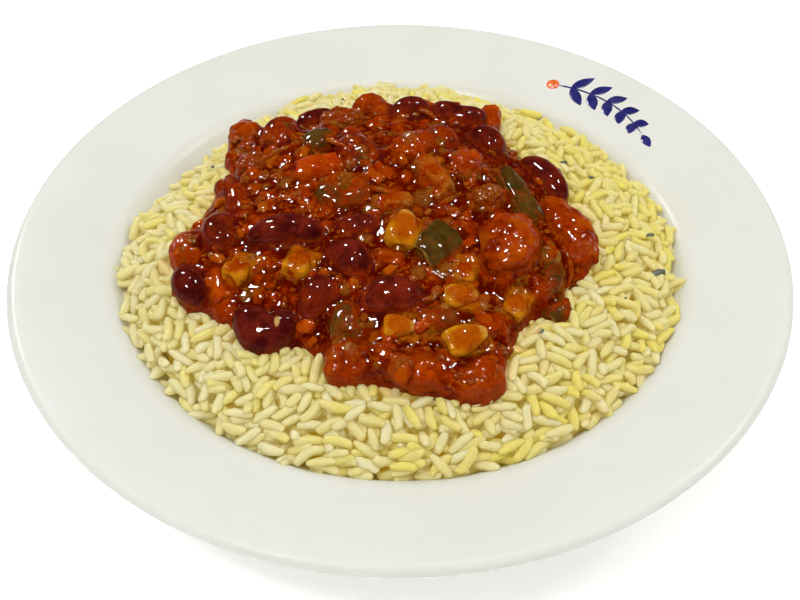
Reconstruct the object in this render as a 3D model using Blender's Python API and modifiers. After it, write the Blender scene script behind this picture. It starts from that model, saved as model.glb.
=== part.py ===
"""Chili con carne heaped on rice, in a deep plate with a wide rim.

The plate stands on its foot ring at the origin, with +Z up, and the eater sits at -Y.
Lengths are in metres. Every piece of the chili lies in a pocket of its own in the sauce.
"""

import math

import bmesh
import bpy
from mathutils import Euler, Vector, noise

MM = 0.001
GAP = 0.3 * MM  # between pieces that touch
TURNS = 36  # sides of the turned plate, and of the rice that fills it

# The plate, as the middle line of its wall: floor, curved side, sloping rim
PLATE_RADIUS = 120 * MM
PLATE_HEIGHT = 38 * MM
WALL = 4.4 * MM
FLOOR_RADIUS = 73 * MM
FLOOR_HEIGHT = 7 * MM
WELL_RADIUS = 90.5 * MM
WELL_HEIGHT = 30 * MM
SIDE_FILLET = 19 * MM
RIM_FILLET = 7 * MM
FILLET_STEPS = 3
FOOT_RADIUS = 60 * MM
FOOT_WIDTH = 3.4 * MM

# The rice: radius where it meets the plate, every 30 degrees from +X towards +Y
RICE_REACH = tuple(r * MM for r in (86, 85.5, 84.5, 86.5, 85, 83, 86, 86, 86, 86.6, 86.6, 86))
RICE_RINGS = 9
RICE_EDGE = 1.6 * MM  # thickness of the rice at the plate's side
RICE_HEIGHT = 40 * MM  # above the table, where the chili begins
RICE_SHOULDER = 24 * MM  # width of the slope up from the side
RICE_HOLLOW = 7 * MM  # how far the chili has pressed the middle down
RICE_RELIEF = 1.1 * MM
RICE_WOBBLE = 1.2 * MM  # how far loose grains make its outline uneven

# The chili: reach from its own middle, every 15 degrees from +X towards +Y
CHILI_MIDDLE = Vector((-5 * MM, -3 * MM))
CHILI_REACH = tuple(
    r * MM
    for r in (
        63, 61, 60, 60, 67, 63, 64, 62, 60, 65, 58, 57,
        61, 67, 62, 57, 52, 55, 62, 66, 66, 56, 60, 60,
    )
)
CHILI_TURNS = 34
CHILI_RINGS = 6
CHILI_EDGE = 4.5 * MM  # height of the rounded edge above the rice
CHILI_DOME = 11.5 * MM  # rise from the edge to the top
CHILI_RELIEF = 1.8 * MM

# What lies in the sauce: place in plan, then turn, tilt and roll in degrees, then length,
# width and thickness, then how far the middle stands above the sauce. All in mm.
PIECES = {
    "kidney_bean": (
        ((-33, -18), (4, 0, 65), (23, 12.5, 12), 1.5),
        ((-38, -46), (172, 0, -35), (19, 14, 11.5), 2.0),
        ((-60, -27), (108, 0, 50), (16, 10.5, 9.5), 1.0),
        ((-21, -40), (42, 0, 50), (15.5, 10.5, 9.5), 0.5),
        ((-14, -28), (-48, 0, 55), (16.5, 11, 10), 0.5),
        ((-3, -42), (2, 0, 60), (18.5, 11.5, 11.5), 0.0),
        ((46, 18), (-58, 0, 60), (23, 11.5, 11.5), 2.0),
        ((28, 30), (-50, 0, 60), (16, 12, 11.5), 2.0),
        ((19, 45), (160, 0, -20), (18.5, 12, 11.5), 2.0),
        ((3, 51), (25, 0, 50), (15.5, 12, 11.5), 2.0),
        ((-29, 53), (32, 0, 40), (17, 10.5, 10), 2.0),
        ((-51, 7), (-62, 0, -15), (17, 10, 9), -0.5),
        ((-54, -12), (100, 0, 15), (16, 10.5, 9.5), 0.5),
        ((-40, 37), (80, 0, 0), (15.5, 11, 10), 0.5),
        ((-14, 20), (122, 0, 0), (18.5, 11, 10), 0.5),
        ((13, 26), (-62, 0, 50), (16, 11, 10), 0.5),
        ((-12, -14), (176, 0, 20), (15, 9, 9), -1.5),
    ),
    "corn": (
        ((1, -19), (78, 12, 18), (13, 10, 7), 2.0),
        ((17, -41), (4, 0, 15), (9.5, 7.5, 6), 1.0),
        ((0, -51), (-4, 0, 25), (9, 7, 5.5), 1.5),
        ((18, -54), (28, 0, 30), (13, 9, 7), 2.0),
        ((33, -38), (62, 0, 10), (10, 7, 5.5), 1.0),
        ((-29, -28), (66, 0, 10), (10, 8, 6), 1.5),
        ((-46, -28), (58, 0, 0), (10, 8, 6), 1.5),
        ((18, -31), (82, 0, 0), (10.5, 6, 5), 1.0),
    ),
    "green_pepper": (
        ((12, -24), (58, 0, 35), (15, 13, 5), 2.0),
        ((-25, 26), (20, 0, 10), (11, 10, 7), 1.5),
        ((37, 3), (-72, 0, -20), (26, 8, 4.5), 1.5),
        ((-17, -1), (8, 0, 10), (16, 12, 5.5), 1.0),
        ((44, -26), (80, 0, -10), (10.5, 7.5, 5), 0.5),
        ((46, -35), (60, 0, 10), (9.5, 7.5, 5), 0.5),
        ((10, -48), (20, 0, 15), (10.5, 8, 5), 0.5),
        ((-15, -46), (84, 0, 10), (13, 8.5, 6), 0.5),
    ),
    "tomato": (
        ((32, -19), (82, 0, 5), (23, 18, 14), 1.5),
        ((51, -7), (110, 0, -10), (31, 14, 11), 0.5),
        ((5, 19), (30, 0, 0), (14, 12, 9), 2.0),
        ((-51, 41), (80, 0, 0), (14, 12.5, 11), 2.5),
        ((-64, -15), (76, 0, 0), (13, 9, 8), 1.0),
        ((-13, -56), (10, 0, 10), (16, 13, 10), 1.0),
        ((21, -63), (20, 0, 0), (15, 12, 10), 1.0),
        ((5, -62), (-10, 0, 0), (14, 11, 9), 0.5),
        ((20, 13), (60, 0, 0), (13, 9.5, 8), 1.5),
        ((-10, 55), (10, 0, 0), (11.5, 10, 9), 2.0),
    ),
    "red_pepper": (
        ((-54, -31), (-76, 0, 10), (13.5, 6.5, 4.5), 1.0),
        ((30, 49), (78, 0, 0), (13, 8, 7), 2.0),
        ((-25, 11), (14, 0, 15), (15, 10, 6), 1.0),
    ),
    "onion": (
        ((10, 6), (-68, 0, 0), (19, 9, 8), 1.5),
        ((-2, -6), (10, 0, 10), (11, 8, 5), 1.0),
    ),
    "mince": (
        ((-19, 42), (0, 0, 0), (15, 11, 8), 1.0),
        ((-47, 21), (30, 0, 0), (12, 10, 8), 1.0),
        ((26, -2), (40, 0, 0), (12, 9, 7), 1.5),
    ),
}
SETTLING_ROUNDS = 60
SETTLING_AXES = 12  # level and sloping directions in which two pieces may be pushed apart

# Base colour, roughness and metallic value
FINISHES = {
    "plate": ((0.80, 0.80, 0.76), 0.15, 0.0),
    "rice": ((0.78, 0.70, 0.36), 0.45, 0.0),
    "chili": ((0.30, 0.045, 0.010), 0.20, 0.0),
    "kidney_bean": ((0.075, 0.008, 0.009), 0.22, 0.0),
    "corn": ((0.72, 0.33, 0.02), 0.25, 0.0),
    "green_pepper": ((0.075, 0.062, 0.012), 0.25, 0.0),
    "tomato": ((0.42, 0.050, 0.008), 0.20, 0.0),
    "red_pepper": ((0.52, 0.12, 0.010), 0.25, 0.0),
    "onion": ((0.42, 0.19, 0.035), 0.25, 0.0),
    "mince": ((0.33, 0.11, 0.025), 0.40, 0.0),
}


def clear_scene():
    for thing in list(bpy.data.objects):
        bpy.data.objects.remove(thing, do_unlink=True)


def make_collection(name):
    collection = bpy.data.collections.new(name)
    bpy.context.scene.collection.children.link(collection)
    return collection


def make_material(kind):
    colour, roughness, metallic = FINISHES[kind]
    material = bpy.data.materials.new(kind)
    material.use_nodes = True
    shader = material.node_tree.nodes["Principled BSDF"]
    shader.inputs["Base Color"].default_value = (*colour, 1)
    shader.inputs["Roughness"].default_value = roughness
    shader.inputs["Metallic"].default_value = metallic
    return material


def add_object(name, mesh, collection, material=None):
    thing = bpy.data.objects.new(name, mesh)
    collection.objects.link(thing)
    if material:
        mesh.materials.append(material)
        mesh.shade_smooth()
    return thing


def between(values, degrees):
    """A value read between its neighbours in a ring of evenly spaced ones, without kinks."""
    step = 360 / len(values)
    place = (degrees % 360) / step
    low = int(place) % len(values)
    part = place - int(place)
    part = part * part * (3 - 2 * part)
    return values[low] * (1 - part) + values[(low + 1) % len(values)] * part


def bearing(x, y):
    return math.degrees(math.atan2(y, x))


# The plate


def rounded_path(corners, steps):
    """Points along straight runs, with an arc at each corner given as (x, z, fillet radius)."""
    path = [Vector(corners[0][:2])]
    for before, corner, after in zip(corners, corners[1:], corners[2:]):
        middle = Vector(corner[:2])
        arriving = (middle - Vector(before[:2])).normalized()
        leaving = (Vector(after[:2]) - middle).normalized()
        turn = arriving.angle_signed(leaving)
        reach = corner[2] * math.tan(abs(turn) / 2)
        side = math.copysign(1, turn)
        start = middle - arriving * reach
        centre = start + Vector((arriving.y, -arriving.x)) * corner[2] * side
        spoke = start - centre
        for step in range(steps + 1):
            angle = -turn * step / steps
            turned = Vector(
                (
                    spoke.x * math.cos(angle) - spoke.y * math.sin(angle),
                    spoke.x * math.sin(angle) + spoke.y * math.cos(angle),
                )
            )
            path.append(centre + turned)
    path.append(Vector(corners[-1][:2]))
    return path


def offset_path(path, distance):
    """The same path, moved to its left side."""
    moved = []
    for place, point in enumerate(path):
        along = path[min(place + 1, len(path) - 1)] - path[max(place - 1, 0)]
        along.normalize()
        moved.append(point + Vector((-along.y, along.x)) * distance)
    return moved


def wall_line():
    rim_end = PLATE_RADIUS - WALL / 2
    corners = (
        (0, FLOOR_HEIGHT, 0),
        (FLOOR_RADIUS, FLOOR_HEIGHT, SIDE_FILLET),
        (WELL_RADIUS, WELL_HEIGHT, RIM_FILLET),
        (rim_end, PLATE_HEIGHT - WALL / 2, 0),
    )
    return rounded_path(corners, FILLET_STEPS)


def plate_top():
    return offset_path(wall_line(), WALL / 2)


def plate_profile():
    """From the middle of the well over the rim and back below to the foot ring and the middle."""
    middle = wall_line()
    upper = offset_path(middle, WALL / 2)
    lower = offset_path(middle, -WALL / 2)
    lip = []
    for step in range(1, 4):
        angle = math.radians(90 - 45 * step)
        lip.append(middle[-1] + Vector((math.cos(angle), math.sin(angle))) * WALL / 2)
    recess = FLOOR_HEIGHT - WALL / 2
    foot = [
        Vector((FOOT_RADIUS + FOOT_WIDTH / 2 + 1.2 * MM, recess)),
        Vector((FOOT_RADIUS + FOOT_WIDTH / 2, 0)),
        Vector((FOOT_RADIUS - FOOT_WIDTH / 2, 0)),
        Vector((FOOT_RADIUS - FOOT_WIDTH / 2 - 1.2 * MM, recess)),
        Vector((0, recess)),
    ]
    outside = [point for point in reversed(lower) if point.x > foot[0].x + MM]
    return upper + lip + outside + foot


def make_plate(collection):
    profile = bmesh.new()
    previous = None
    for point in plate_profile():
        vert = profile.verts.new((point.x, 0, point.y))
        if previous:
            profile.edges.new((previous, vert))
        previous = vert
    mesh = bpy.data.meshes.new("plate")
    profile.to_mesh(mesh)
    profile.free()
    plate = add_object("plate", mesh, collection, make_material("plate"))
    turned = plate.modifiers.new("turned", "SCREW")
    turned.steps = turned.render_steps = TURNS
    turned.use_merge_vertices = True
    turned.merge_threshold = 0.01 * MM
    return plate


# The rice and the sauce are both made of rings, from the middle outwards


def well_height(radius):
    """Height of the plate's upper side, and how far to stay above it, to keep the gap."""
    top = plate_top()
    for inner, outer in zip(top, top[1:]):
        if outer.x >= radius:
            slope = (outer.y - inner.y) / (outer.x - inner.x)
            return inner.y + (radius - inner.x) * slope + GAP * math.hypot(1, slope)
    return top[-1].y


def rice_reach(degrees):
    """Radius at which the rice ends against the plate's side."""
    around = Vector((math.cos(math.radians(degrees)), math.sin(math.radians(degrees)), 0))
    return between(RICE_REACH, degrees) - RICE_WOBBLE * abs(noise.noise(around * 5))


def rice_top(x, y):
    """Height of the rice, smooth where the chili covers it."""
    radius = math.hypot(x, y)
    reach = rice_reach(bearing(x, y))
    edge = well_height(reach) + RICE_EDGE
    climb = min(1, max(0, reach - radius) / RICE_SHOULDER)
    hollow = RICE_HOLLOW * max(0, 1 - (radius / (reach - RICE_SHOULDER)) ** 2) ** 1.5
    return edge + (RICE_HEIGHT - edge) * (1 - (1 - climb) ** 2) - hollow


def chili_spread(x, y):
    """0 in the middle of the chili and 1 at its outline."""
    away = Vector((x, y)) - CHILI_MIDDLE
    return away.length / between(CHILI_REACH, bearing(*away))


def rice_relief(x, y):
    bare = min(1, max(0, chili_spread(x, y) - 1.06) * 8)
    bumps = noise.noise(Vector((x, y, 0)) / (8 * MM)) + noise.noise(Vector((y, x, 1)) / (16 * MM))
    return RICE_RELIEF * bare * bumps


def chili_top(x, y):
    spread = min(1, chili_spread(x, y))
    bottom = rice_top(x, y) + GAP
    lumps = noise.noise(Vector((x, y, 3)) / (19 * MM)) + 0.5 * noise.noise(Vector((x, y, 7)) / (8 * MM))
    dome = CHILI_EDGE + CHILI_DOME * (1 - spread**2) ** 0.9 + CHILI_RELIEF * lumps * (1 - spread)
    rounding = (1 - spread**7) ** 0.5
    return bottom + (RICE_HEIGHT + dome - bottom) * rounding


def ring_solid(name, turns, shares, place, upper, lower, collection, material):
    """A closed heap: an upper and a lower skin over the same rings, joined at the outline.

    shares are the rings' parts of the reach, and place gives x and y for a share and an angle.
    """
    heap = bmesh.new()
    skins = []
    for height in (upper, lower):
        x, y = place(0, 0)
        rings = [[heap.verts.new((x, y, height(x, y)))]]
        for share in shares:
            ring = []
            for turn in range(turns):
                x, y = place(share, 360 * turn / turns)
                ring.append(heap.verts.new((x, y, height(x, y))))
            rings.append(ring)
        skins.append(rings)
    for rings, flip in zip(skins, (False, True)):
        for turn in range(turns):
            following = (turn + 1) % turns
            inner = rings[1]
            fan = (rings[0][0], inner[turn], inner[following])
            heap.faces.new(tuple(reversed(fan)) if flip else fan)
            for near, far in zip(rings[1:], rings[2:]):
                quad = (near[turn], far[turn], far[following], near[following])
                heap.faces.new(tuple(reversed(quad)) if flip else quad)
    for turn in range(turns):
        following = (turn + 1) % turns
        top, bottom = skins[0][-1], skins[1][-1]
        heap.faces.new((top[turn], bottom[turn], bottom[following], top[following]))
    bmesh.ops.remove_doubles(heap, verts=heap.verts, dist=0.01 * MM)
    bmesh.ops.triangulate(heap, faces=heap.faces)
    mesh = bpy.data.meshes.new(name)
    heap.to_mesh(mesh)
    heap.free()
    return add_object(name, mesh, collection, material)


def make_rice(collection):
    def place(share, degrees):
        radius = rice_reach(degrees) * share
        return radius * math.cos(math.radians(degrees)), radius * math.sin(math.radians(degrees))

    def upper(x, y):
        return rice_top(x, y) + rice_relief(x, y)

    def lower(x, y):
        return well_height(math.hypot(x, y))

    shares = [(ring / RICE_RINGS) ** 0.7 for ring in range(1, RICE_RINGS + 1)]
    return ring_solid("rice", TURNS, shares, place, upper, lower, collection, make_material("rice"))


def make_chili(collection):
    def place(share, degrees):
        radius = between(CHILI_REACH, degrees) * share
        return (
            CHILI_MIDDLE.x + radius * math.cos(math.radians(degrees)),
            CHILI_MIDDLE.y + radius * math.sin(math.radians(degrees)),
        )

    def lower(x, y):
        return rice_top(x, y) + GAP

    shares = [math.sin(math.pi / 2 * ring / CHILI_RINGS) for ring in range(1, CHILI_RINGS + 1)]
    return ring_solid(
        "chili", CHILI_TURNS, shares, place, chili_top, lower, collection, make_material("chili")
    )


# The forms of the pieces, each bent out of a ball of radius 1 with its poles on X


def squared(value, power):
    return math.copysign(abs(value) ** power, value)


def bean_form(point, seed):
    """A kidney bean: full ends that bend towards -Y, and a dimple in the hollow side."""
    x, y, z = squared(point.x, 0.9), squared(point.y, 0.9), squared(point.z, 0.9)
    dimple = 0.3 * math.exp(-((x / 0.35) ** 2)) * max(0, -y)
    return Vector((x, y * 0.86 - 0.34 * x * x + 0.14 + dimple, z))


def corn_form(point, seed):
    """A corn kernel: a blunt wedge, broad at the crown, with a dent in it."""
    x, y, z = squared(point.x, 0.65), squared(point.y, 0.65), squared(point.z, 0.7)
    narrowing = 0.78 + 0.22 * x
    dent = 0.16 * max(0, x) * math.exp(-4 * (y * y + z * z))
    return Vector((x - dent, y * narrowing, z * (0.9 + 0.1 * x)))


def slab_form(point, seed):
    """A cut square of pepper or a leaf of onion: flat, curled across, with uneven edges."""
    x, y, z = squared(point.x, 0.7), squared(point.y, 0.6), squared(point.z, 0.8)
    uneven = 1 + 0.12 * noise.noise(Vector((x, y, seed)) * 1.3)
    curl = 0.55 * (0.5 - y * y) + 0.25 * (0.4 - x * x)
    return Vector((x * uneven, y * uneven, z * 0.75 + curl))


def lump_form(point, seed):
    """A soft lump of tomato or mince."""
    reach = 1 + 0.22 * noise.noise(point * 1.1 + Vector((seed, 0, 0)))
    return point * (reach + 0.1 * noise.noise(point * 2.3 + Vector((0, seed, 0))))


FORMS = {
    "kidney_bean": (bean_form, 8, 5),
    "corn": (corn_form, 7, 4),
    "green_pepper": (slab_form, 7, 4),
    "tomato": (lump_form, 7, 4),
    "red_pepper": (slab_form, 7, 4),
    "onion": (slab_form, 7, 4),
    "mince": (lump_form, 7, 4),
}


def piece_mesh(name, kind, seed, turns, size):
    """The piece's closed mesh, already turned, round its own middle."""
    form, sides, rings = FORMS[kind]
    shape = bmesh.new()
    bmesh.ops.create_uvsphere(shape, u_segments=sides, v_segments=rings, radius=1)
    for vert in shape.verts:
        vert.co = form(Vector((vert.co.z, vert.co.x, vert.co.y)), seed)
    for axis in range(3):
        low = min(vert.co[axis] for vert in shape.verts)
        high = max(vert.co[axis] for vert in shape.verts)
        for vert in shape.verts:
            vert.co[axis] = ((vert.co[axis] - low) / (high - low) - 0.5) * size[axis] * MM
    turn, tilt, roll = (math.radians(angle) for angle in turns)
    bmesh.ops.transform(shape, matrix=Euler((roll, -tilt, turn)).to_matrix().to_4x4(), verts=shape.verts)
    bmesh.ops.triangulate(shape, faces=shape.faces)
    mesh = bpy.data.meshes.new(name)
    shape.to_mesh(mesh)
    shape.free()
    return mesh


def settle(pieces):
    """Push pieces apart along the direction that needs the least, until the gap is free.

    pieces are [place, points of the mesh round it]. Two convex forms are apart if in some
    direction one ends before the other begins.
    """
    axes = [Vector((0, 0, 1))]
    for step in range(SETTLING_AXES):
        angle = math.pi * step / SETTLING_AXES
        level = Vector((math.cos(angle), math.sin(angle), 0))
        axes += [level, (level + axes[0]).normalized(), (level - axes[0]).normalized()]
    spans = []
    for _, points in pieces:
        spans.append([(min(p.dot(a) for p in points), max(p.dot(a) for p in points)) for a in axes])
    for _ in range(SETTLING_ROUNDS):
        moved = False
        for first in range(len(pieces)):
            for second in range(first + 1, len(pieces)):
                between_them = pieces[second][0] - pieces[first][0]
                if between_them.length > 30 * MM:
                    continue
                least, push = None, None
                for axis, one, other in zip(axes, spans[first], spans[second]):
                    away = between_them.dot(axis)
                    if away < 0:
                        axis, away, one, other = -axis, -away, (-one[1], -one[0]), (-other[1], -other[0])
                    short = one[1] - other[0] + GAP * 1.1 - away
                    if least is None or short < least:
                        least, push = short, axis
                if least > 0:
                    pieces[first][0] = pieces[first][0] - push * least / 2
                    pieces[second][0] = pieces[second][0] + push * least / 2
                    moved = True
        if not moved:
            return


def make_pieces(collection):
    made, places = [], []
    for kind, rows in PIECES.items():
        material = make_material(kind)
        for number, (plan, turns, size, lift) in enumerate(rows, 1):
            mesh = piece_mesh(f"{kind}_{number:02d}", kind, 7 * len(made), turns, size)
            x, y = (value * MM for value in plan)
            place = Vector((x, y, chili_top(x, y) + lift * MM))
            places.append([place, [vert.co.copy() for vert in mesh.vertices]])
            made.append(add_object(mesh.name, mesh, collection, material))
    settle(places)
    for thing, (place, _) in zip(made, places):
        thing.location = place
    return made


# Pockets


def make_cutter(piece, collection):
    """The piece's form, grown by the gap."""
    grown = bmesh.new()
    grown.from_mesh(piece.data)
    grown.normal_update()
    for vert in grown.verts:
        vert.co += vert.normal * vert.calc_shell_factor() * GAP
    mesh = bpy.data.meshes.new(f"pocket_{piece.name}")
    grown.to_mesh(mesh)
    grown.free()
    cutter = add_object(mesh.name, mesh, collection)
    cutter.location = piece.location
    cutter.hide_render = True
    cutter.display_type = "WIRE"
    return cutter


def reaches_below(cutter, height):
    """Whether any corner of the cutter lies under a surface given as height(x, y)."""
    corners = [cutter.location + vert.co for vert in cutter.data.vertices]
    return any(corner.z < height(corner.x, corner.y) for corner in corners)


def cut_pockets(heap, cutters):
    for cutter in cutters:
        cut = heap.modifiers.new(cutter.name, "BOOLEAN")
        cut.operation = "DIFFERENCE"
        cut.solver = "EXACT"
        cut.object = cutter


def main():
    clear_scene()
    parts = make_collection("chili_con_carne")
    cutters = make_collection("cutters")
    make_plate(parts)
    rice = make_rice(parts)
    chili = make_chili(parts)
    pieces = make_pieces(parts)
    pockets = [make_cutter(piece, cutters) for piece in pieces]
    cut_pockets(chili, pockets)
    cut_pockets(rice, [pocket for pocket in pockets if reaches_below(pocket, rice_top)])


main()
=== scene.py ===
"""Looks of a plate of chili con carne on rice: glazed plate, loose grains, sauce and its pieces.

Each operator makes one piece, or one group of like pieces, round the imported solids. Lengths are
in metres, +Z is up and the eater sits at -Y.
"""

import math

import bpy
import numpy as np
from bpy.props import FloatProperty, FloatVectorProperty, IntProperty, PointerProperty
from mathutils import Euler, Matrix, Vector
from mathutils.bvhtree import BVHTree
from mathutils.kdtree import KDTree


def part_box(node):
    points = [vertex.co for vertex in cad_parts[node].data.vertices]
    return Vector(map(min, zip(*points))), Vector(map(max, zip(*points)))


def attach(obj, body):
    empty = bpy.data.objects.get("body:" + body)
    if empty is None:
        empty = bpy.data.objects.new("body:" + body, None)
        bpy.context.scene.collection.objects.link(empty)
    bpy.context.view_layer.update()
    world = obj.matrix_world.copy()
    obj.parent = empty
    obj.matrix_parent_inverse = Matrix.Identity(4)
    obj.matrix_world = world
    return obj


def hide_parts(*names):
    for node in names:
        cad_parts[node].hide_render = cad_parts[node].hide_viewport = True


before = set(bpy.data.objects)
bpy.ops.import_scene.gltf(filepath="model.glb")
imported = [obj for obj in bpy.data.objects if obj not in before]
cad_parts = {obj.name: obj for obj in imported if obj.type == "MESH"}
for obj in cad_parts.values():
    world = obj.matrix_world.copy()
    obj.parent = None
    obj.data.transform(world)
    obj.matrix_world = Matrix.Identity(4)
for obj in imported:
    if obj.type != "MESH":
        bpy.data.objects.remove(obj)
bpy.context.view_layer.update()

bl_info = {
    "name": "Chili con carne on rice",
    "version": (1, 0, 0),
    "blender": (4, 5, 0),
    "location": "View3D > Sidebar > Chili",
    "description": "Plate, rice, sauce, beans and vegetables of a plate of chili con carne",
    "category": "Add Mesh",
}

MM = 0.001
BODY = "root"
PLATE_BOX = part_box("plate")
CHILI_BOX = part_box("chili")
RICE_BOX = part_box("rice")
SOLIDS = ("kidney_bean", "corn", "green_pepper", "tomato", "red_pepper", "onion", "mince")
ABOVE = 100 * MM  # height from which rays are sent down, clear of everything
DOWN = Vector((0, 0, -1))


# The sizes and colours that can be changed


def length(name, description, default):
    return FloatProperty(
        name=name, description=description, default=default, unit="LENGTH", precision=5
    )


def share(name, description, default):
    return FloatProperty(name=name, description=description, default=default, min=0, max=1)


def number(name, description, default):
    return IntProperty(name=name, description=description, default=default, min=1)


def amount(name, description, default, least=0):
    return FloatProperty(name=name, description=description, default=default, min=least)


def colour(name, description, default):
    return FloatVectorProperty(
        name=name, description=description, default=default, size=3, min=0, max=1, subtype="COLOR"
    )


class PlateSettings(bpy.types.PropertyGroup):
    """The turned plate and the sprig printed on its rim."""

    sides: number("Sides", "Sides of the turned plate", 176)
    wall: length("Wall", "Thickness of the plate's wall", 4.4 * MM)
    floor_radius: length("Floor radius", "Radius of the corner between floor and side", 73 * MM)
    floor_height: length("Floor height", "Middle of the floor's wall above the table", 7 * MM)
    well_radius: length("Well radius", "Radius of the corner between side and rim", 90.5 * MM)
    well_height: length("Well height", "Height of the corner between side and rim", 30 * MM)
    side_fillet: length("Side fillet", "Rounding between floor and side", 19 * MM)
    rim_fillet: length("Rim fillet", "Rounding between side and rim", 7 * MM)
    foot_radius: length("Foot radius", "Radius of the foot ring", 60 * MM)
    foot_width: length("Foot width", "Width of the foot ring", 3.4 * MM)
    glaze: colour("Glaze", "White of the glaze", (0.71, 0.71, 0.66))
    leaf: colour("Leaf", "Blue of the printed leaves", (0.012, 0.012, 0.115))
    berry: colour("Berry", "Orange of the printed berry", (0.80, 0.13, 0.02))


class RiceSettings(bpy.types.PropertyGroup):
    """The rice."""

    grain_length: length("Grain length", "Length of a cooked grain", 8.1 * MM)
    grain_width: length("Grain width", "Width of a cooked grain", 3.05 * MM)
    grains: number("Grains", "Most grains to lay", 2720)
    yellow_share: share("Yellow share", "Part of the grains that took more colour", 0.27)
    core_depth: length("Core depth", "How far the core stays below the heap's surface", 4.9 * MM)
    core_inset: length("Core inset", "How far the core stays inside the heap's edge", 7 * MM)
    # Painted glow: the grains and the core give off light of their own, which lightens the shade between
    # the grains
    painted_glow: amount("Glow", "Light that soaks through the heap", 0.165)
    cream: colour("Cream", "Plain grains", (0.575, 0.515, 0.18))
    pale: colour("Pale", "Palest grains", (0.60, 0.585, 0.385))
    beige: colour("Beige", "Warmer patches of the heap", (0.58, 0.51, 0.29))
    yellow: colour("Yellow", "Grains that took the most colour", (0.60, 0.535, 0.12))
    stain: colour("Stain", "Grains that touch the sauce", (0.70, 0.45, 0.20))
    # Hollow is the colour of the painted glow in the depths between the grains, and also the core's own
    # colour
    hollow: colour("Hollow", "Depths between the grains", (0.84, 0.575, 0.03))


class SauceSettings(bpy.types.PropertyGroup):
    """The sauce and the small things in it."""

    grid: length("Grid", "Size of the faces of the sauce", 0.66 * MM)
    lumps: number("Lumps", "Lumps under the skin of the sauce", 640)
    bareness: length("Bareness", "How far the sauce has run down off the pieces", 0.2 * MM)
    # Deep and Orange also paint the shade in the sauce's hollows and the light on its ridges, besides its
    # own darker and lighter sauce
    deep: colour("Deep", "Sauce in the hollows", (0.070, 0.0018, 0.0001))
    red: colour("Red", "Most of the sauce", (0.160, 0.0060, 0.0001))
    orange: colour("Orange", "Sauce on the ridges", (0.37, 0.038, 0.0003))
    amber: colour("Amber", "Onion under the sauce", (0.40, 0.110, 0.003))
    mince: colour("Mince", "Mince under the sauce", (0.40, 0.130, 0.012))
    pulp: colour("Pulp", "Flecks of pulp and fat in the sauce", (0.46, 0.110, 0.004))


class StageSettings(bpy.types.PropertyGroup):
    """Floor, lights and camera."""

    distance: length("Distance", "Camera to the point it looks at", 400 * MM)
    elevation: FloatProperty(
        name="Elevation",
        description="Camera above the table",
        default=math.radians(45.698),
        subtype="ANGLE",
    )
    look_at: length("Look at", "How far behind the middle of the table the camera looks", 8.477 * MM)
    lens: amount("Lens", "Focal length in mm", 52.945, least=1)
    key: amount("Key", "Power of the key light in watts", 2.1)
    lamps: amount("Lamps", "Power in watts of a lamp of 0.1 m that wet surfaces mirror", 12.0)
    daylight: amount("Daylight", "Light from all round", 0.61)
    gloss: amount("Gloss", "How much of the daylight wet surfaces mirror", 0.0)
    fill: amount("Fill", "Power of the soft light above in watts", 11.3)


# Materials


class Term:
    """An output socket whose sums, differences and products add Math nodes."""

    def __init__(self, finish, socket):
        self.finish = finish
        self.socket = socket

    def __abs__(self):
        return self.math("ABSOLUTE", self, 0)

    def math(self, operation, first, second):
        return self.finish.node("ShaderNodeMath", {"operation": operation}, {0: first, 1: second})

    def __add__(self, other):
        return self.math("ADD", self, other)

    def __radd__(self, other):
        return self.math("ADD", other, self)

    def __sub__(self, other):
        return self.math("SUBTRACT", self, other)

    def __rsub__(self, other):
        return self.math("SUBTRACT", other, self)

    def __mul__(self, other):
        return self.math("MULTIPLY", self, other)

    def __rmul__(self, other):
        return self.math("MULTIPLY", other, self)


def toned(tone, parts):
    """A colour with all its channels, or each of them, multiplied."""
    return tuple(np.multiply(tone, parts))


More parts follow.
